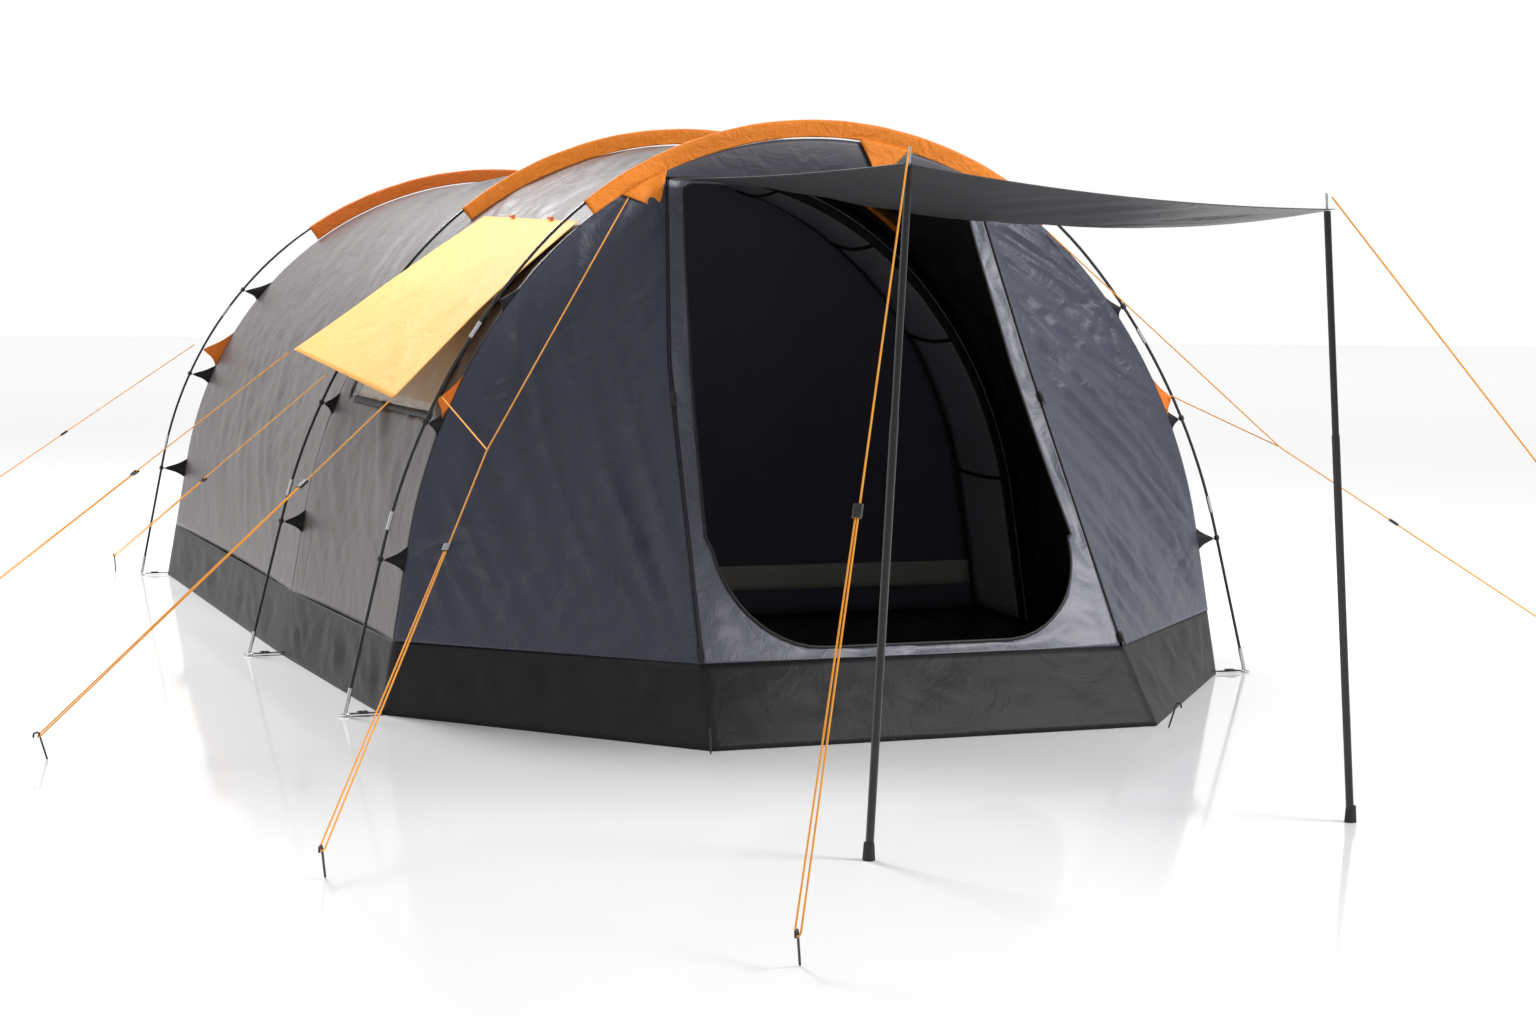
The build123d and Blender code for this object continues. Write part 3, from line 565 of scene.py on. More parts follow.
rearCreases = tunnelCreases(cloths["middle"], cloths["rear"], 3)
rearPlace = tunnelPlace(cloths["middle"], cloths["rear"], flySet["sag"], rearCreases, 1.0)
rearFly = layCloth(rearPlace, flySet["rear"]["cols"], flySet["rear"]["rows"], (2.9, 4.6))
finishPiece(rearFly, "rearFly", finishes["flyTaupe"], nodes=["rear_fly"])


def middleShare(y):  # u at this place along the tent
    near, far = cloths["front"]["y"], cloths["middle"]["y"]
    return (y - near) / (far - near)


middleSag = flySet["sag"] * flySet["middleSag"]
middleCreases = tunnelCreases(cloths["front"], cloths["middle"], 8)
middlePlace = tunnelPlace(cloths["front"], cloths["middle"], middleSag, middleCreases, 9.0)


def wallShare(z):  # v on the left wall at this height, halfway between the hoops
    low, high = 0.0, 0.5
    for _ in range(30):
        mid = (low + high) / 2
        if middlePlace(0.5, mid).z < z:
            low = mid
        else:
            high = mid
    return low


windowShare = {
    "u": tuple(middleShare(y) for y in windowSet["y"]),
    "v": tuple(wallShare(z) for z in windowSet["z"]),
}


def snapped(place, steps, shares):  # moves the grid's nearest lines onto the window's edges
    def shift(t, edges, count):
        for edge in edges:
            line = round(edge * count) / count
            if abs(t - line) < 0.25 / count:
                return edge
        return t

    def moved(u, v):
        return place(shift(u, shares["u"], steps[0]), shift(v, shares["v"], steps[1]))
    return moved


def windowHole(u, v):
    (u0, u1), (v0, v1) = windowShare["u"], windowShare["v"]
    return u0 < u < u1 and v0 < v < v1


middleSteps = (flySet["middle"]["cols"], flySet["middle"]["rows"])
openPlace = snapped(middlePlace, middleSteps, windowShare)
middleFly = layCloth(openPlace, *middleSteps, (1.49, 4.6), skip=windowHole)
finishPiece(middleFly, "middleFly", finishes["flyTaupe"], nodes=["middle_fly"])


windowFace = Vector((-math.cos(windowSet["slope"]), 0, math.sin(windowSet["slope"])))   # outwards


def patchPlace(inward=0.0, fold=0.0, folds=9, grow=0.0):
    (u0, u1), (v0, v1) = windowShare["u"], windowShare["v"]

    def place(u, v):
        p = middlePlace(lerp(u0 - grow, u1 + grow, u), lerp(v0 - grow * 0.5, v1 + grow * 0.5, v))
        wave = fold * math.sin(folds * 2 * math.pi * u + 1.3 * math.sin(3 * v + 2 * u))
        return p - windowFace * (inward + wave)
    return place


film = layCloth(patchPlace(inward=0.0005), 24, 14, (1.18, 0.66), thick=0.0008)
finishPiece(film, "windowFilm", finishes["windowClear"], nodes=["side_window"])


curtainSet = {"inward": 0.032, "fold": 0.007, "folds": 8, "grow": 0.012}


def curtainPlace(side):
    inside = patchPlace(**curtainSet)

    def place(u, v):
        along = lerp(0.0, 0.5, u) if side < 0 else lerp(0.5, 1.0, u)
        return inside(along, v)
    return place


for side, name in ((-1, "curtainFront"), (1, "curtainRear")):
    curtain = layCloth(curtainPlace(side), 60, 16, (0.9, 0.66))
    finishPiece(curtain, name, finishes["curtainCream"], nodes=["side_curtains"])
say("flysheet, window and curtains")


# A flat strap that follows points, its face turned towards up
def stripAlong(name, points, width, thick, material, up):
    def place(u, v):
        at = u * (len(points) - 1)
        i = min(int(at), len(points) - 2)
        p = lerp(points[i], points[i + 1], at - i)
        across = unit(unit(points[i + 1] - points[i]).cross(up))
        return p + across * (v - 0.5) * width
    obj = layCloth(place, max(2, 2 * (len(points) - 1)), 1, (1, width), thick=thick)
    return finishPiece(obj, name, material)


def windowBorder():
    (u0, u1), (v0, v1) = windowShare["u"], windowShare["v"]
    ring = [(lerp(u0, u1, i / 12), v0) for i in range(13)]
    ring += [(u1, lerp(v0, v1, i / 8)) for i in range(1, 9)]
    ring += [(lerp(u1, u0, i / 12), v1) for i in range(1, 13)]
    ring += [(u0, lerp(v1, v0, i / 8)) for i in range(1, 8)]
    ring.append(ring[0])
    points = [middlePlace(u, v) + windowFace * 0.002 for u, v in ring]
    stripAlong("windowBorder", points, windowSet["border"], windowSet["borderThick"], finishes["skirtDark"],
               windowFace)


windowBorder()


backSet = {"cols": 90, "rows": 60, "swell": 0.012, "ripple": 0.008, "behind": 0.002}
backCreases = foldFan([(-1.6, 0.25, 0.6, 0.5), (1.6, 0.25, 2.5, 0.5), (-1.3, 1.4, -0.4, 0.6),
                       (1.3, 1.4, 3.5, 0.6)], 5, 4, (0.5, 1.3))


def backPlace(u, v):
    arch = cloths["rear"]
    start = sideAt(arch, clothSet["skirtTop"])
    s = lerp(start, arch["length"] / 2, v)
    left = archPoint(arch, s)
    p = Vector((lerp(left.x, -left.x, u), arch["y"] + backSet["behind"], left.z))
    edge = min(1, 6 * u, 6 * (1 - u)) * min(1, 6 * v)
    swell = backSet["swell"] * math.sin(math.pi * u) + ripple(p.x, p.z, 2.6, backSet["ripple"], 4.0)
    p.y -= edge * (swell + creaseAt(backCreases, p.x, p.z))
    return p


back = layCloth(backPlace, backSet["cols"], backSet["rows"], (3.3, 1.8))
finishPiece(back, "backPanel", finishes["flyTaupe"], nodes=["back_panel"])
say("back panel")


porchSet = {
    "cols": 90, "rows": 130, "zipGap": 0.0055, "belly": 0.018,
    "ripple": 0.005, "crumple": 0.006, "streak": 0.015,     # depths
    "pull": 0.95,           # the way the streaks run, in radians
}
doorSet = {
    "top": 1.835, "bottom": 0.285, "halfTop": 0.545, "halfBottom": 0.722, "corner": 0.330, "topCorner": 0.03,
}


def sidePanelPlace(side, creases):
    low, high = clothSet["skirtTop"], seamLine[3].z

    def place(u, v):
        z = lerp(low, high, v)
        a, b = wallAt(z, side) - Vector((0, 0.006, 0)), seamAt(z, side)
        b = b + unit(a - b) * porchSet["zipGap"]
        along = unit(Vector((b.x - a.x, b.y - a.y, 0)))
        inward = Vector((-along.y * side, along.x * side, 0))
        if inward.y < 0:
            inward = -inward
        p = lerp(a, b, u)
        run = u * (b - a).length
        edge = min(1, 7 * u, 7 * (1 - u)) * min(1, 9 * v, 9 * (1 - v))
        push = porchSet["belly"] * math.sin(math.pi * u) * math.sin(math.pi * v)
        push += edge * (creaseAt(creases, run, z) + ripple(run, z, 3.0, porchSet["ripple"], 3.0 + side)
                        + crumple(run, z, porchSet["crumple"], 5.0 + side)
                        + streaks(run, z, porchSet["pull"] * side, 9.0, porchSet["streak"], side))
        return p + inward * push
    return place


# Where each porch side is pulled: its place along and up the panel, the way it runs and how far it spreads
porchPulls = [(0.0, 0.25, 1.0, 0.5), (1.1, 0.25, 2.2, 0.5), (0.0, 0.55, 0.1, 0.7), (0.0, 1.04, -0.1, 0.8),
              (0.0, 1.45, -0.5, 0.6), (0.55, 1.85, -1.7, 0.5)]
for side, name, seed in ((-1, "left", 21), (1, "right", 34)):
    creases = foldFan(porchPulls, seed, 5, (0.35, 1.15), (0.010, 0.028), (0.004, 0.011))
    panel = layCloth(sidePanelPlace(side, creases), porchSet["cols"], porchSet["rows"], (1.2, 1.7))
    node = f"porch_{name}_panel"
    finishPiece(panel, f"{name}PorchPanel", finishes["porchSlate"], nodes=[node])


def doorHalf(z):
    share = (z - doorSet["bottom"]) / (doorSet["top"] - doorSet["bottom"])
    return lerp(doorSet["halfBottom"], doorSet["halfTop"], share)


def inDoor(x, z):
    if not doorSet["bottom"] < z < doorSet["top"]:
        return False
    edge = doorHalf(z)
    r = doorSet["corner"]
    if z < doorSet["bottom"] + r:
        centre = doorHalf(doorSet["bottom"] + r) - r * 1.05
        if abs(x) > centre:
            return (abs(x) - centre) ** 2 + (z - doorSet["bottom"] - r) ** 2 < r * r
    r = doorSet["topCorner"]
    if z > doorSet["top"] - r and abs(x) > edge - r:
        return (abs(x) - edge + r) ** 2 + (z - doorSet["top"] + r) ** 2 < r * r
    return abs(x) < edge


doorMiddle = (0.0, 1.03)


def doorEdge(x, z):  # the door's edge on the line from its middle to this point
    low, high = 0.0, 1.0
    for _ in range(26):
        mid = (low + high) / 2
        if inDoor(lerp(doorMiddle[0], x, mid), lerp(doorMiddle[1], z, mid)):
            low = mid
        else:
            high = mid
    return lerp(doorMiddle[0], x, low), lerp(doorMiddle[1], z, low)


def frontOutline(t):  # once round the front panel's outer edge
    low, high = clothSet["skirtTop"], seamLine[3].z
    sides = (0.0, 0.16, 0.5, 0.66, 1.0)
    bottomX = seamAt(low, 1).x - porchSet["zipGap"]
    topX = seamAt(high, 1).x - porchSet["zipGap"]
    if t <= sides[1]:
        return lerp(-bottomX, bottomX, t / sides[1]), low
    if t <= sides[2]:
        z = lerp(low, high, (t - sides[1]) / (sides[2] - sides[1]))
        return seamAt(z, 1).x - porchSet["zipGap"], z
    if t <= sides[3]:
        return lerp(topX, -topX, (t - sides[2]) / (sides[3] - sides[2])), high
    z = lerp(high, low, (t - sides[3]) / (sides[4] - sides[3]))
    return -seamAt(z, 1).x + porchSet["zipGap"], z


frontSet = {"cols": 14, "rows": 320, "ripple": 0.005, "crumple": 0.009, "wave": 0.004, "behind": 0.0015}


def frontPlace(u, v):
    x, z = frontOutline(v % 1.0)
    dx, dz = doorEdge(x, z)
    x, z = lerp(dx, x, u), lerp(dz, z, u)
    y = seamAt(z).y + frontSet["behind"]
    wrinkle = ripple(x, z, 6.0, frontSet["ripple"], 2.0) + crumple(x, z, frontSet["crumple"], 3.0)
    y += wrinkle * math.sin(math.pi * u) + frontSet["wave"] * math.sin(9 * z) * (1 - u)
    return Vector((x, y, z))


frontPanel = layCloth(frontPlace, frontSet["cols"], frontSet["rows"], (0.2, 5.2))
# the front panel takes the lighter copy of the porch slate, painted light
finishPiece(frontPanel, "porchFront", finishes["frontSlatePaintedLight"], nodes=["porch_front_panel"])


def tubeAlong(name, points, radius, material, closed=False):
    data = bpy.data.curves.new(name, "CURVE")
    data.dimensions = "3D"
    data.bevel_depth = radius
    data.bevel_resolution = 2
    data.use_fill_caps = True
    spline = data.splines.new("POLY")
    spline.points.add(len(points) - 1)
    for knot, p in zip(spline.points, points):
        knot.co = (*p, 1)
    spline.use_cyclic_u = closed
    obj = bpy.data.objects.new(name, data)
    bpy.context.collection.objects.link(obj)
    only(obj)
    bpy.ops.object.convert(target="MESH")
    bpy.ops.object.shade_smooth()
    return finishPiece(bpy.context.object, name, material)


doorZipSet = {"points": 160, "radius": 0.0055, "proud": 0.003}
doorRing = [frontPlace(0.0, i / doorZipSet["points"]) - Vector((0, doorZipSet["proud"], 0))
            for i in range(doorZipSet["points"])]
tubeAlong("doorZip", doorRing, doorZipSet["radius"], finishes["zipBlack"], closed=True)


hoodSet = {"cols": 60, "rows": 10, "proud": 0.003, "belly": 0.006}


def hoodPlace(u, v):
    arch = cloths["front"]
    start = sideAt(arch, seamLine[3].z + 0.003)
    s = lerp(start, arch["length"] - start, u)
    top = archPoint(arch, s)
    base = archPoint(arch, start)
    low = Vector((lerp(base.x, -base.x, u), base.y, base.z))
    p = lerp(low, top, v)
    p.y -= hoodSet["proud"] + hoodSet["belly"] * math.sin(math.pi * u) * math.sin(math.pi * v)
    return p


hood = layCloth(hoodPlace, hoodSet["cols"], hoodSet["rows"], (1.3, 0.16))
finishPiece(hood, "porchHood", finishes["hoodNavy"], nodes=["porch_hood"])
say("porch")


skirtSet = {"wave": 0.006, "crumple": 0.008, "streak": 0.007, "steps": 48, "rows": 14}


def skirtCorners(height):
    lean = height * math.tan(math.radians(clothSet["lean"]))
    right = [Vector((cloths["rear"]["half"] - lean, cloths["rear"]["y"] + 0.003, height)),
             Vector((cloths["middle"]["half"] - lean, 0, height)), wallAt(height, 1), seamAt(height, 1)]
    return right + [Vector((-p.x, p.y, p.z)) for p in reversed(right)]


def skirtPlace(u, v):
    height = lerp(0.0012, clothSet["skirtTop"], v)
    ring = skirtCorners(height)
    at = (u % 1.0) * len(ring)
    i = int(at) % len(ring)
    a, b = ring[i], ring[(i + 1) % len(ring)]
    share = at - int(at)
    p = lerp(a, b, share)
    along = unit(b - a)
    out = Vector((along.y, -along.x, 0)) * -1
    if out.dot(Vector((p.x, p.y, 0))) < 0:
        out = -out
    run = share * (b - a).length + i * 3.0
    edge = min(1, 10 * share, 10 * (1 - share))
    push = (ripple(run, height, 5.0, skirtSet["wave"], 6.0) + crumple(run, height, skirtSet["crumple"], 2.0)
            + streaks(run, height, 0.5, 10.0, skirtSet["streak"], 4.0))
    return p + out * (edge * math.sin(math.pi * v) * push)


skirt = layCloth(skirtPlace, 8 * skirtSet["steps"], skirtSet["rows"], (15, 0.25))
finishPiece(skirt, "mudSkirt", finishes["skirtDark"], nodes=["mud_skirt"])
say("skirt")


innerSet = {
    "front": 0.600, "back": 2.780, "inset": 0.075, "foot": 0.006, "threshold": (0.12, 0.23),
    "hang": 0.03, "ripple": 0.008, "wave": 0.01,
}
innerFront, innerBack = (betweenArches(poleHoops["middle"], poleHoops["rear"], innerSet[end],
                                       innerSet["inset"]) for end in ("front", "back"))


def roomPlace(u, v):
    a = archPoint(innerFront, archSpan(innerFront, v, innerSet["foot"]))
    b = archPoint(innerBack, archSpan(innerBack, v, innerSet["foot"]))
    p = lerp(a, b, u)
    _, _, turn = archFlat(innerFront, archSpan(innerFront, v, innerSet["foot"]))
    out = Vector((-math.cos(turn), 0, math.sin(turn)))
    hang = -innerSet["hang"] * abs(math.sin(3 * math.pi * u)) * math.sin(math.pi * v)
    return p + out * (hang + ripple(p.y, 5 * v, 4.0, innerSet["ripple"], 7.0) * math.sin(math.pi * u))


room = layCloth(roomPlace, 60, 90, (2.2, 4.9))
finishPiece(room, "innerBody", finishes["innerGrey"], nodes=["inner_tent_body"])


def wallPlace(arch, y, seed):
    start, wave = sideAt(arch, innerSet["foot"]), innerSet["wave"]

    def place(u, v):
        left = archPoint(arch, lerp(start, arch["length"] / 2, v))
        p = Vector((lerp(left.x, -left.x, u), y, left.z))
        hang = 0.3 * wave * math.sin(16 * p.x + 1.3 * math.sin(2 * p.z))
        p.y += min(1, 8 * u, 8 * (1 - u)) * (ripple(p.x, p.z * 0.4, 3.4, wave, seed) + hang)
        return p
    return place


wall = layCloth(wallPlace(innerFront, innerSet["front"] - 0.002, 1.0), 90, 60, (3.2, 1.9))
finishPiece(wall, "innerDoorWall", finishes["innerNavy"], nodes=["inner_tent_front"])
rearWall = layCloth(wallPlace(innerBack, innerSet["back"] + 0.0015, 4.0), 50, 30, (3.2, 1.9))
finishPiece(rearWall, "innerRearWall", finishes["innerGrey"], nodes=["inner_tent_body"])


def thresholdPlace(u, v):
    z = lerp(*innerSet["threshold"], v)
    half = -archPoint(innerFront, sideAt(innerFront, z)).x - 0.01
    x = lerp(-half, half, u)
    return Vector((x, innerSet["front"] - 0.016 + ripple(x, z, 5, 0.006, 3.0), z))


threshold = layCloth(thresholdPlace, 60, 4, (3.2, 0.12))
finishPiece(threshold, "innerThreshold", finishes["thresholdGrey"])


# The grey frame round the inner tent's door, which reaches forward to the middle hoop, with its black
# zip band, its piping and the straps across it
frameSet = {
    "inset": 0.10, "y": 0.05, "sag": 0.03, "band": 0.065, "points": 90, "piping": 0.003, "edge": 0.006,
    "straps": (0.115, 0.235, 0.335, 0.425), "strap": 0.016, "strapThick": 0.002,
}
frameArch = betweenArches(poleHoops["front"], poleHoops["middle"], -0.0001, frameSet["inset"])


def alongArch(arch, share, height=0.02):
    return archPoint(arch, archSpan(arch, share, height))


def framePlace(u, v):
    back, near = alongArch(innerFront, u), alongArch(frameArch, u)
    back.y, near.y = innerSet["front"] - 0.006, frameSet["y"]
    p = lerp(back, near, v)
    p.z -= frameSet["sag"] * math.sin(math.pi * v) * math.sin(math.pi * u)
    return p


def bandPlace(u, v):
    p = alongArch(frameArch, u)
    p.y = frameSet["y"] - 0.002
    outward = unit(Vector((p.x, 0, p.z - 0.6)))
    return p + outward * frameSet["band"] * (v - 0.35)


def frameEdge(place, v, proud):     # points round the frame, a little in front of it
    steps = frameSet["points"]
    return [place(i / steps, v) - Vector((0, proud, 0)) for i in range(steps + 1)]


innerFrame = layCloth(framePlace, 120, 6, (4.9, 0.55))
finishPiece(innerFrame, "innerFrame", finishes["innerGrey"])
innerBand = layCloth(bandPlace, 120, 2, (4.9, 0.065))
finishPiece(innerBand, "innerBand", finishes["bandBlack"])
tubeAlong("innerPiping", frameEdge(bandPlace, 0.62, 0.004), frameSet["piping"], finishes["pipingGrey"])
tubeAlong("innerDoorEdge", frameEdge(framePlace, 0.0, 0.008), frameSet["edge"], finishes["bandBlack"])
for i, share in enumerate(frameSet["straps"]):
    for side, at in (("left", share), ("right", 1 - share)):
        proud = Vector((math.copysign(0.004, 0.5 - at), 0, -0.003))
        points = [framePlace(at, j / 6) + proud for j in range(7)]
        inward = Vector((math.copysign(1, 0.5 - at), 0, -0.4))
        stripAlong(f"{side}FrameStrap{i}", points, frameSet["strap"], frameSet["strapThick"],
                   finishes["bandBlack"], inward)
say("inner tent")


# Cloth gussets that reach out to the clips, and the patches of the side guys, made from one triangle
gussetSet = {
    "thick": 0.0024, "steps": 8, "draw": 0.45,      # draw: how far the sides curve in
    "clip": {"half": 0.045, "gap": 0.0105, "at": [(h, i, s) for h in poles for i, s in enumerate(clipSteps)]},
    "patch": {"half": 0.085, "gap": 0.006, "at": [("front", "", 1.128), ("rear", "", 1.175)]},
}


def gussetPlace(hoop, s, half, tipGap, side):
    cloth, tip = cloths[hoop], archPoint(poles[hoop], s, -tipGap)
    low, high = (archPoint(cloth, sideAt(cloth, tip.z + step), 0.001) for step in (-half, half))

    def place(u, v):
        base = archPoint(cloth, sideAt(cloth, lerp(low, high, v).z), 0.0005)
        middle = lerp(lerp(low, high, 0.5), tip, u)
        p = lerp(lerp(base, tip, u), middle, gussetSet["draw"] * math.sin(math.pi * u) * abs(v - 0.5))
        p.y += 0.003 * math.sin(9 * v) * (1 - u)
        return Vector((p.x * -side, p.y, p.z))
    return place


def makeGussets(kind, word, material, node):
    c, steps = gussetSet[kind], gussetSet["steps"]
    for sideName, side in (("left", -1), ("right", 1)):
        for hoop, number, s in c["at"]:
            place = gussetPlace(hoop, s, c["half"], c["gap"], side)
            piece = layCloth(place, steps, steps, thick=gussetSet["thick"], smooth=False)
            name = f"{sideName}{hoop.capitalize()}{word}{number}"
            finishPiece(piece, name, material, nodes=[node])


makeGussets("clip", "Gusset", finishes["skirtDark"], "clip_straps")
makeGussets("patch", "Patch", finishes["patchOrange"], "guy_patches")
say("gussets and patches")


sleeveSet = {
    "from": 2.000, "pole": 0.0075, "bulge": 0.0015, "cols": 150, "rows": 16,
    "wrap": 0.35,       # how far below its middle the cloth still hugs the pole, as a share of its radius
    "deepen": 0.045,    # how much deeper the sleeve is towards its ends
}


# A sleeve goes round its pole, then falls to the cloth as two layers
def sleevePlace(pole, seed):
    start, end = sleeveSet["from"], pole["length"] - sleeveSet["from"]
    tilt, wrap = pole["tilt"], sleeveSet["wrap"]
    widest = abs(math.sin(math.acos(wrap)))

    def place(u, v):
        s = lerp(start, end, u)
        centre = archPoint(pole, s)
        _, _, turn = archFlat(pole, s)
        out = Vector((-math.cos(turn), math.sin(turn) * math.sin(tilt), math.sin(turn) * math.cos(tilt)))
        side = Vector((0, math.cos(tilt), -math.sin(tilt)))
        drop = clothSet["drop"] + sleeveSet["deepen"] * abs(math.cos(turn)) ** 2
        around = 2 * math.pi * v
        r = sleeveSet["pole"] + sleeveSet["bulge"] * noise.noise(Vector((s * 9, math.cos(around) * 2, seed)))
        height = -math.cos(around)      # -1 at the cloth, 1 over the pole
        if height > -wrap:
            reach = r * height + 0.001
            width = r * math.sin(around)
        else:
            fall = (-wrap - height) / (1 - wrap)
            reach = lerp(-wrap * r, -(drop - 0.006), fall)
            layer = math.copysign(0.0016, math.sin(around))
            width = math.sin(around) / widest * r * (1 - fall) ** 1.5 + layer
            width += 0.003 * noise.noise(Vector((s * 11 + 4 * fall, fall, seed + 3))) * fall
        return centre + out * reach + side * width
    return place


for i, (name, pole) in enumerate(poles.items()):
    cols, rows = sleeveSet["cols"], sleeveSet["rows"]
    sleeve = layCloth(sleevePlace(pole, 2.0 * i), cols, rows, (2.4, 0.16), thick=0.0008)
    # the rear sleeve takes the darker copy of the sleeve orange, painted shade
    colour = finishes["rearOrangePaintedShade" if name == "rear" else "sleeveOrange"]
    finishPiece(sleeve, f"{name}Sleeve", colour, nodes=[f"{name}_pole_sleeve"])


# Tails of the front sleeve: a tab under the crown for the canopy, and one over each side guy's tie
tabSet = {
    "crown": {"at": 0.62, "half": 0.105, "drop": 0.135},
    "leftTail": {"at": 0.115, "half": 0.10, "drop": 0.10},
    "rightTail": {"at": 0.885, "half": 0.10, "drop": 0.10},
}


def tabPlace(c):
    pole = poles["front"]
    start, end = sleeveSet["from"], pole["length"] - sleeveSet["from"]
    middle, half = lerp(start, end, c["at"]), c["half"]

    def place(u, v):
        s = lerp(middle - half, middle + half, u)
        narrow = lerp(s, middle, 0.88 * v)
        p = archPoint(pole, narrow, -0.05 - c["drop"] * v)
        p.y -= 0.012 + 0.010 * v + 0.004 * math.sin(7 * u + 3 * v)
        return p
    return place


for name, c in tabSet.items():
    tab = layCloth(tabPlace(c), 12, 10, (0.2, 0.12), thick=0.0012)
    finishPiece(tab, f"{name}Tab", finishes["sleeveOrange"])
say("sleeves")


awningSet = {       # each hem from its top to its lower corner; the cloth bellies outwards between them
    "front": ((-0.929, -1.385, 1.688), (-1.583, -1.378, 1.070)),
    "rear": ((-0.940, -0.180, 1.732), (-1.626, 0.150, 1.196)),
    "out": (-0.68, 0, 0.73), "belly": (0.0, 0.008, 0.010, 0.004, 0.0), "size": (1.3, 0.9),
    "streak": 0.003, "ripple": 0.005, "hollow": 0.02,       # hollow: how far the side hems draw in
}


def awningPlace(u, v):
    front, rear = (lerp(Vector(a), Vector(b), v) for a, b in (awningSet["front"], awningSet["rear"]))
    belly = awningSet["belly"]
    at = v * (len(belly) - 1)
    i = min(int(at), len(belly) - 2)
    edge = math.sin(math.pi * u) * math.sin(math.pi * v)
    x, y = awningSet["size"][0] * u, awningSet["size"][1] * v
    push = 0.0015 + lerp(belly[i], belly[i + 1], at - i)
    pulls = creaseAt(awningCreases, x, y) + streaks(x, y, 1.2, 4.0, awningSet["streak"], 6.0)
    push += edge ** 0.5 * pulls + edge * ripple(x, y, 4.0, awningSet["ripple"], 8.0)
    hollow = awningSet["hollow"] * math.sin(math.pi * v) * (u ** 12 - (1 - u) ** 12)
    return lerp(front, rear, u - hollow) + unit(Vector(awningSet["out"])) * push


awningCreases = foldFan([(0, 0, 0.8, 0.4), (0, 0.9, -0.8, 0.4), (1.3, 0.9, 3.9, 0.4), (1.3, 0, 2.3, 0.4)],
                        12, 4, (0.4, 0.9), depth=(0.002, 0.006))
awning = layCloth(awningPlace, 60, 40, awningSet["size"], thick=0.0012)
finishPiece(awning, "sideAwning", finishes["awningAmber"], nodes=["side_awning"])


canopySet = {
    "backLeft": (-0.605, -1.425, 1.846), "backRight": (0.605, -1.425, 1.786),
    "leftTop": (-0.876, -4.000, 1.776), "rightTop": (0.376, -4.000, 1.694),
    "margin": 0.016, "rest": 0.004, "size": (1.25, 2.6),
    "frontSag": 0.026, "leftSag": 0.012, "rightSag": 0.066, "belly": 0.040, "backRise": 0.010,
    "ripple": 0.008, "streak": 0.006,
}


def canopyPlace(u, v):
    c = canopySet
    left = Vector(c["leftTop"]) + Vector((-c["margin"], -c["margin"], c["rest"]))
    right = Vector(c["rightTop"]) + Vector((c["margin"], -c["margin"], c["rest"]))
    p = lerp(lerp(Vector(c["backLeft"]), Vector(c["backRight"]), u), lerp(left, right, u), v)
    across, along = 4 * u * (1 - u), 4 * v * (1 - v)
    sag = c["frontSag"] * across * v ** 4 + c["leftSag"] * along * (1 - u) + c["rightSag"] * along * u
    rise = c["backRise"] * across * (1 - v) ** 2
    edge = min(1, 8 * u, 8 * (1 - u)) * min(1, 10 * v, 10 * (1 - v))
    x, y = c["size"][0] * u, c["size"][1] * v
    push = edge * (creaseAt(canopyCreases, x, y) + ripple(x, y, 2.5, c["ripple"], 1.0)
                   + streaks(x, y, 1.45, 6.0, c["streak"], 3.0))
    return p + Vector((0, 0, rise - sag - c["belly"] * across * along + 0.0015 + push))


canopyCreases = foldFan([(0, 2.6, -1.2, 0.35), (1.25, 2.6, -1.9, 0.35), (0, 0, 1.2, 0.35),
                         (1.25, 0, 1.9, 0.35)], 14, 4, (0.6, 1.6), depth=(0.004, 0.011))
canopy = layCloth(canopyPlace, 50, 100, canopySet["size"], thick=0.0012)
finishPiece(canopy, "doorCanopy", finishes["canopyCharcoal"], nodes=["door_canopy"])
say("awning and canopy")


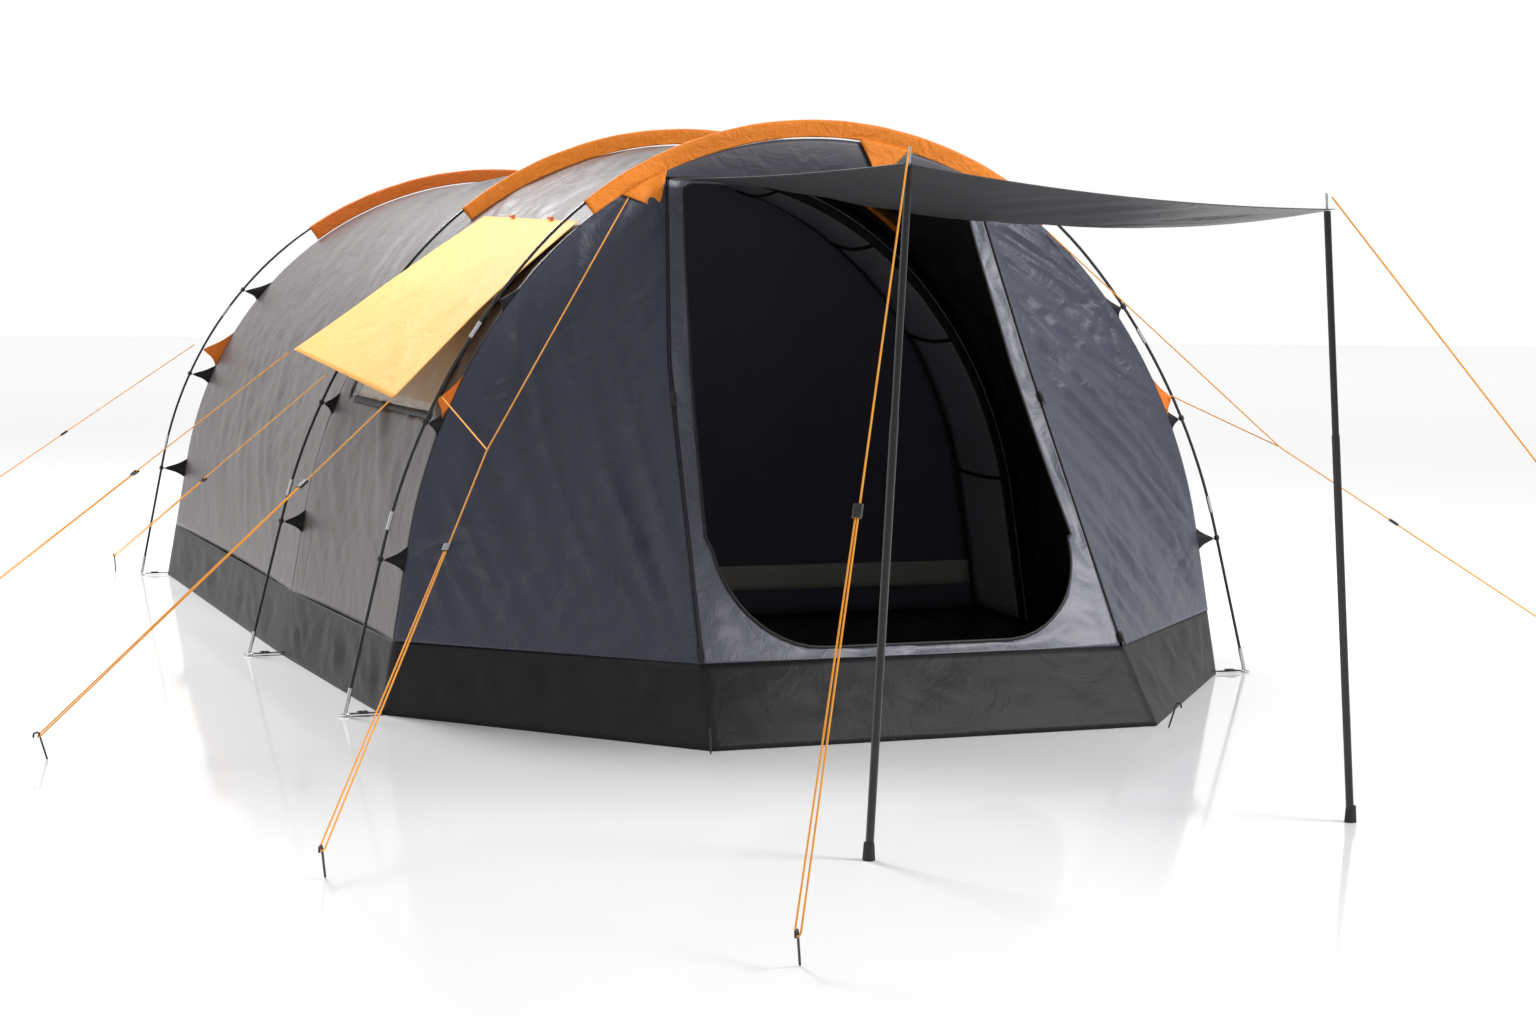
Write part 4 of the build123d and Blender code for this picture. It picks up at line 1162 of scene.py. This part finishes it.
# The frame's own pieces keep their shapes and take these finishes
sideNames, endNames = ("left", "right"), ("upper", "lower")
cadFinishes = {
    "poleBlack": ["front_hoop_pole", "middle_hoop_pole", "rear_hoop_pole"],
    "steel": ["pole_ferrules", "hoop_foot_pins", "hoop_foot_rings", "canopy_pole_spikes"],
    "webbing": ["foot_webbing"],
    "nylonBlack": ["foot_ladder_locks", "hoop_clips"] + [f"{guy}_runner" for guy in guys],
    "toggleOrange": ["awning_toggles"],
    "groundsheet": ["groundsheet"],
    "zipBlack": ["zip_tracks"] + [f"{side}_{end}_zip_slider" for side in sideNames for end in endNames],
    "tubeBlack": [f"{side}_canopy_pole_{end}" for side in sideNames for end in endNames],
    "rubber": [f"{side}_canopy_pole_foot" for side in sideNames],
    "pegBlack": ["pegs"],
}
for finish, nodes in cadFinishes.items():
    for node in nodes:
        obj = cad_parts[node]
        obj.data.materials.clear()
        obj.data.materials.append(finishes[finish])


stageSet = {
    "floor": (0.90, 0.90, 0.905), "rough": 0.08, "floorSize": 120,
    "sky": (0.46, 1.0),             # its strength behind the camera, and beyond the tent
    "skyTurn": (-0.35, 0.25),       # where it changes from one to the other, along +Y
    "aim": (0, -0.5, 0.8),
    "lamps": (("key", (4.5, -7, 6.5), 2.5, 560), ("back", (-3, 5, 8), 3, 900)),   # place, size and power
}


def makeStage(c):
    clearSelection()
    bpy.ops.mesh.primitive_plane_add(size=c["floorSize"], location=(0, 0, -0.001))
    floor = bpy.context.object
    floor.name = "floor"
    bakePlace(floor)
    floor.data.materials.append(plainMaterial("floorPale", c["floor"], rough=c["rough"]))
    world = bpy.data.worlds.new("sky")
    bpy.context.scene.world = world
    world.use_nodes = True
    nodes, links = world.node_tree.nodes, world.node_tree.links
    shade = nodes["Background"]
    shade.inputs["Color"].default_value = (1, 1, 1, 1)
    kinds = ("TexCoord", "SeparateXYZ", "MapRange")
    coords, parts, grade = (nodes.new(f"ShaderNode{kind}") for kind in kinds)
    links.new(coords.outputs["Generated"], parts.inputs["Vector"])
    links.new(parts.outputs["Y"], grade.inputs["Value"])
    grade.inputs["From Min"].default_value, grade.inputs["From Max"].default_value = c["skyTurn"]
    grade.inputs["To Min"].default_value, grade.inputs["To Max"].default_value = c["sky"]
    links.new(grade.outputs["Result"], shade.inputs["Strength"])
    for name, place, size, power in c["lamps"]:
        lamp = bpy.data.objects.new(name, bpy.data.lights.new(name, "AREA"))
        bpy.context.collection.objects.link(lamp)
        lamp.data.energy = power
        lamp.data.size = size
        lamp.location = place
        lamp.rotation_euler = (Vector(c["aim"]) - Vector(place)).to_track_quat("-Z", "Y").to_euler()
    bpy.context.scene.view_settings.view_transform = "Standard"


makeStage(stageSet)
say("stage")
